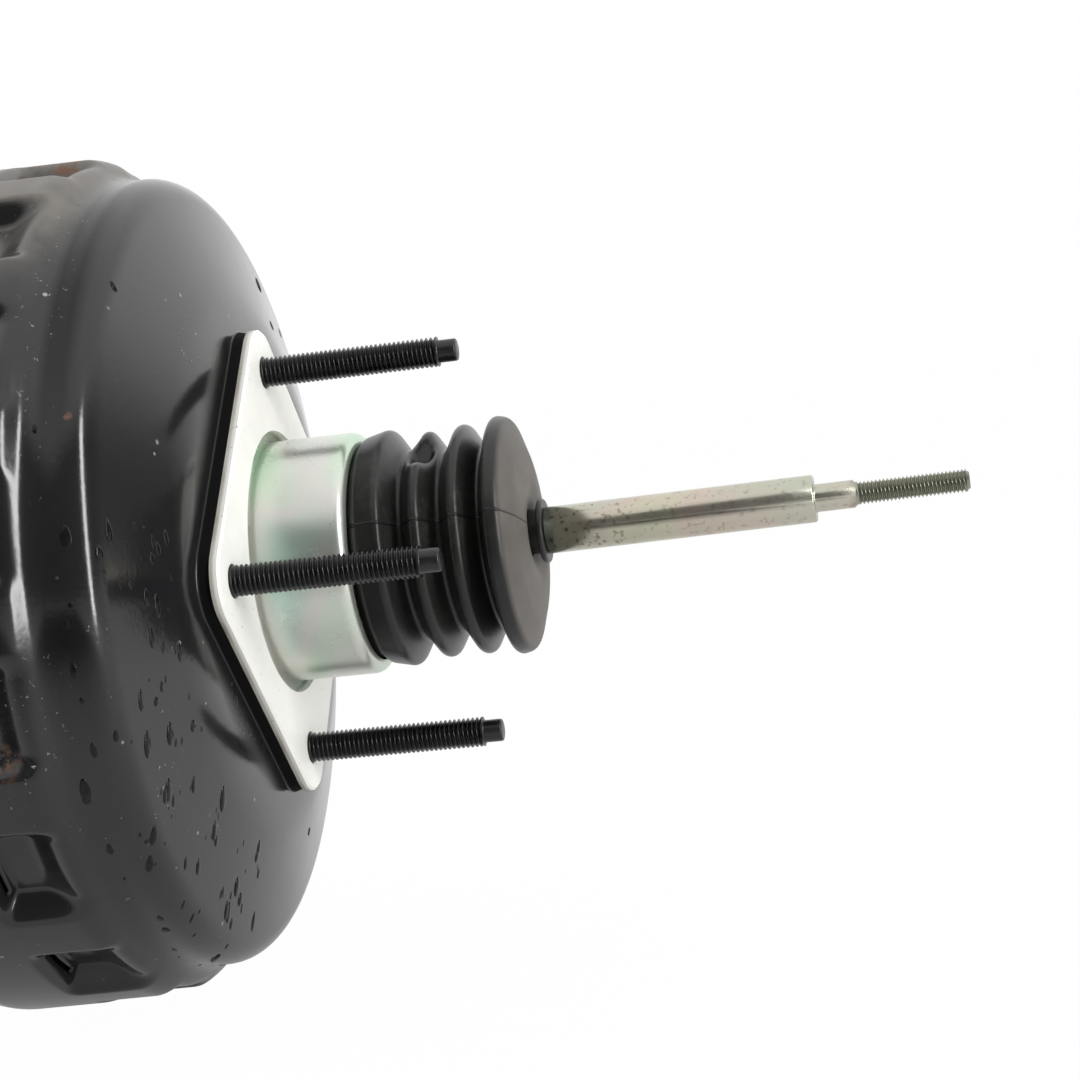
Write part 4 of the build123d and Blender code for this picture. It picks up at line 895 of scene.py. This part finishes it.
def stage_floor():
    """A pale floor that lights the booster from below, and is plain white where the camera looks."""
    floor = flat_sheet("floor", (-FLOOR_HALF, FLOOR_HALF), (-FLOOR_HALF, FLOOR_HALF), FLOOR_GAP)
    s = Shader("floor", Roughness=0.9)
    s.bsdf.inputs["Base Color"].default_value = (FLOOR_BASE, FLOOR_BASE, FLOOR_BASE, 1)
    light = s.add("ShaderNodeEmission")
    path = s.add("ShaderNodeLightPath")
    seen = s.math("MAXIMUM", path.outputs["Is Camera Ray"], path.outputs["Is Transmission Ray"])
    both = s.add("ShaderNodeMixShader")
    out = s.tree.nodes["Material Output"]
    mirrored = s.math("MULTIPLY", path.outputs["Is Glossy Ray"], FLOOR_MIRRORED)
    s.feed(both, 0, s.math("MAXIMUM", s.math("MULTIPLY", seen, FLOOR_SEEN), mirrored))
    s.tree.links.new(s.bsdf.outputs[0], both.inputs[1])
    s.tree.links.new(light.outputs[0], both.inputs[2])
    s.tree.links.new(both.outputs[0], out.inputs["Surface"])
    floor.data.materials.append(s.material)


def dark_card():
    """Black cloth on the floor at the camera's side, which only the object's reflections show."""
    card = flat_sheet("dark_card", CARD_X, CARD_Y, CARD_GAP)
    s = Shader("dark_card", Roughness=1.0, Specular_IOR_Level=0.0)
    s.bsdf.inputs["Base Color"].default_value = (CARD_BASE, CARD_BASE, CARD_BASE, 1)
    clear = s.add("ShaderNodeBsdfTransparent")
    fade = s.add("ShaderNodeMixShader")
    s.feed(fade, 0, s.span(*CARD_FADE, "Y"))
    s.tree.links.new(s.bsdf.outputs[0], fade.inputs[1])
    s.tree.links.new(clear.outputs[0], fade.inputs[2])
    s.tree.links.new(fade.outputs[0], s.tree.nodes["Material Output"].inputs["Surface"])
    card.data.materials.append(s.material)
    card.visible_camera = False
    card.visible_diffuse = False
    card.visible_shadow = False


def world():
    """White where the camera looks, and for the object a bright top over a darker horizon."""
    scene_world = bpy.data.worlds.new("studio")
    bpy.context.scene.world = scene_world
    scene_world.use_nodes = True
    tree = scene_world.node_tree
    tree.nodes.clear()
    add = tree.nodes.new
    link = tree.links.new
    where = add("ShaderNodeTexCoord")
    parts = add("ShaderNodeSeparateXYZ")
    ramp = add("ShaderNodeValToRGB")
    studio = add("ShaderNodeBackground")
    white = add("ShaderNodeBackground")
    path = add("ShaderNodeLightPath")
    both = add("ShaderNodeMixShader")
    out = add("ShaderNodeOutputWorld")
    link(where.outputs["Generated"], parts.inputs[0])
    height = parts.outputs["Z"]
    for axis, share in (("Y", HORIZON_LEAN_Y), ("X", HORIZON_TILT_X)):
        node = add("ShaderNodeMath")
        node.operation = "MULTIPLY_ADD"
        node.inputs[1].default_value = share
        link(parts.outputs[axis], node.inputs[0])
        link(height, node.inputs[2])
        height = node.outputs[0]
    link(height, ramp.inputs["Fac"])
    ramp.color_ramp.interpolation = "EASE"
    for spot, (place, grey) in zip(ramp.color_ramp.elements, (HORIZON, OVERHEAD)):
        spot.position = place
        spot.color = (grey, grey, grey, 1)
    link(ramp.outputs["Color"], studio.inputs["Color"])
    white.inputs["Color"].default_value = (1, 1, 1, 1)
    link(path.outputs["Is Camera Ray"], both.inputs[0])
    link(studio.outputs[0], both.inputs[1])
    link(white.outputs[0], both.inputs[2])
    link(both.outputs[0], out.inputs["Surface"])


def softbox(name, place, size, power):
    """A rectangular lamp that points at the booster and that the camera doesn't see."""
    light = bpy.data.lights.new(name, "AREA")
    light.shape = "RECTANGLE"
    light.size, light.size_y = size
    light.energy = power
    lamp = bpy.data.objects.new(name, light)
    lamp.location = place
    lamp.rotation_euler = (-Vector(place)).to_track_quat("-Z", "Y").to_euler()
    lamp.visible_camera = False
    bpy.context.scene.collection.objects.link(lamp)


def camera():
    data = bpy.data.cameras.new("camera")
    data.lens = CAMERA_LENS
    data.sensor_width = CAMERA_SENSOR
    eye = bpy.data.objects.new("camera", data)
    up = CAMERA_RIGHT.cross(CAMERA_FORWARD).normalized()
    right = CAMERA_FORWARD.cross(up).normalized()
    turn = Matrix((right, up, -CAMERA_FORWARD)).transposed().to_4x4()
    eye.matrix_world = Matrix.Translation(CAMERA_PLACE * MM) @ turn
    bpy.context.scene.collection.objects.link(eye)
    bpy.context.scene.camera = eye


stage_floor()
dark_card()
world()
softbox("strip", *STRIP_LAMP)
softbox("top", *TOP_LAMP)
camera()
bpy.context.scene.view_settings.view_transform = "Standard"
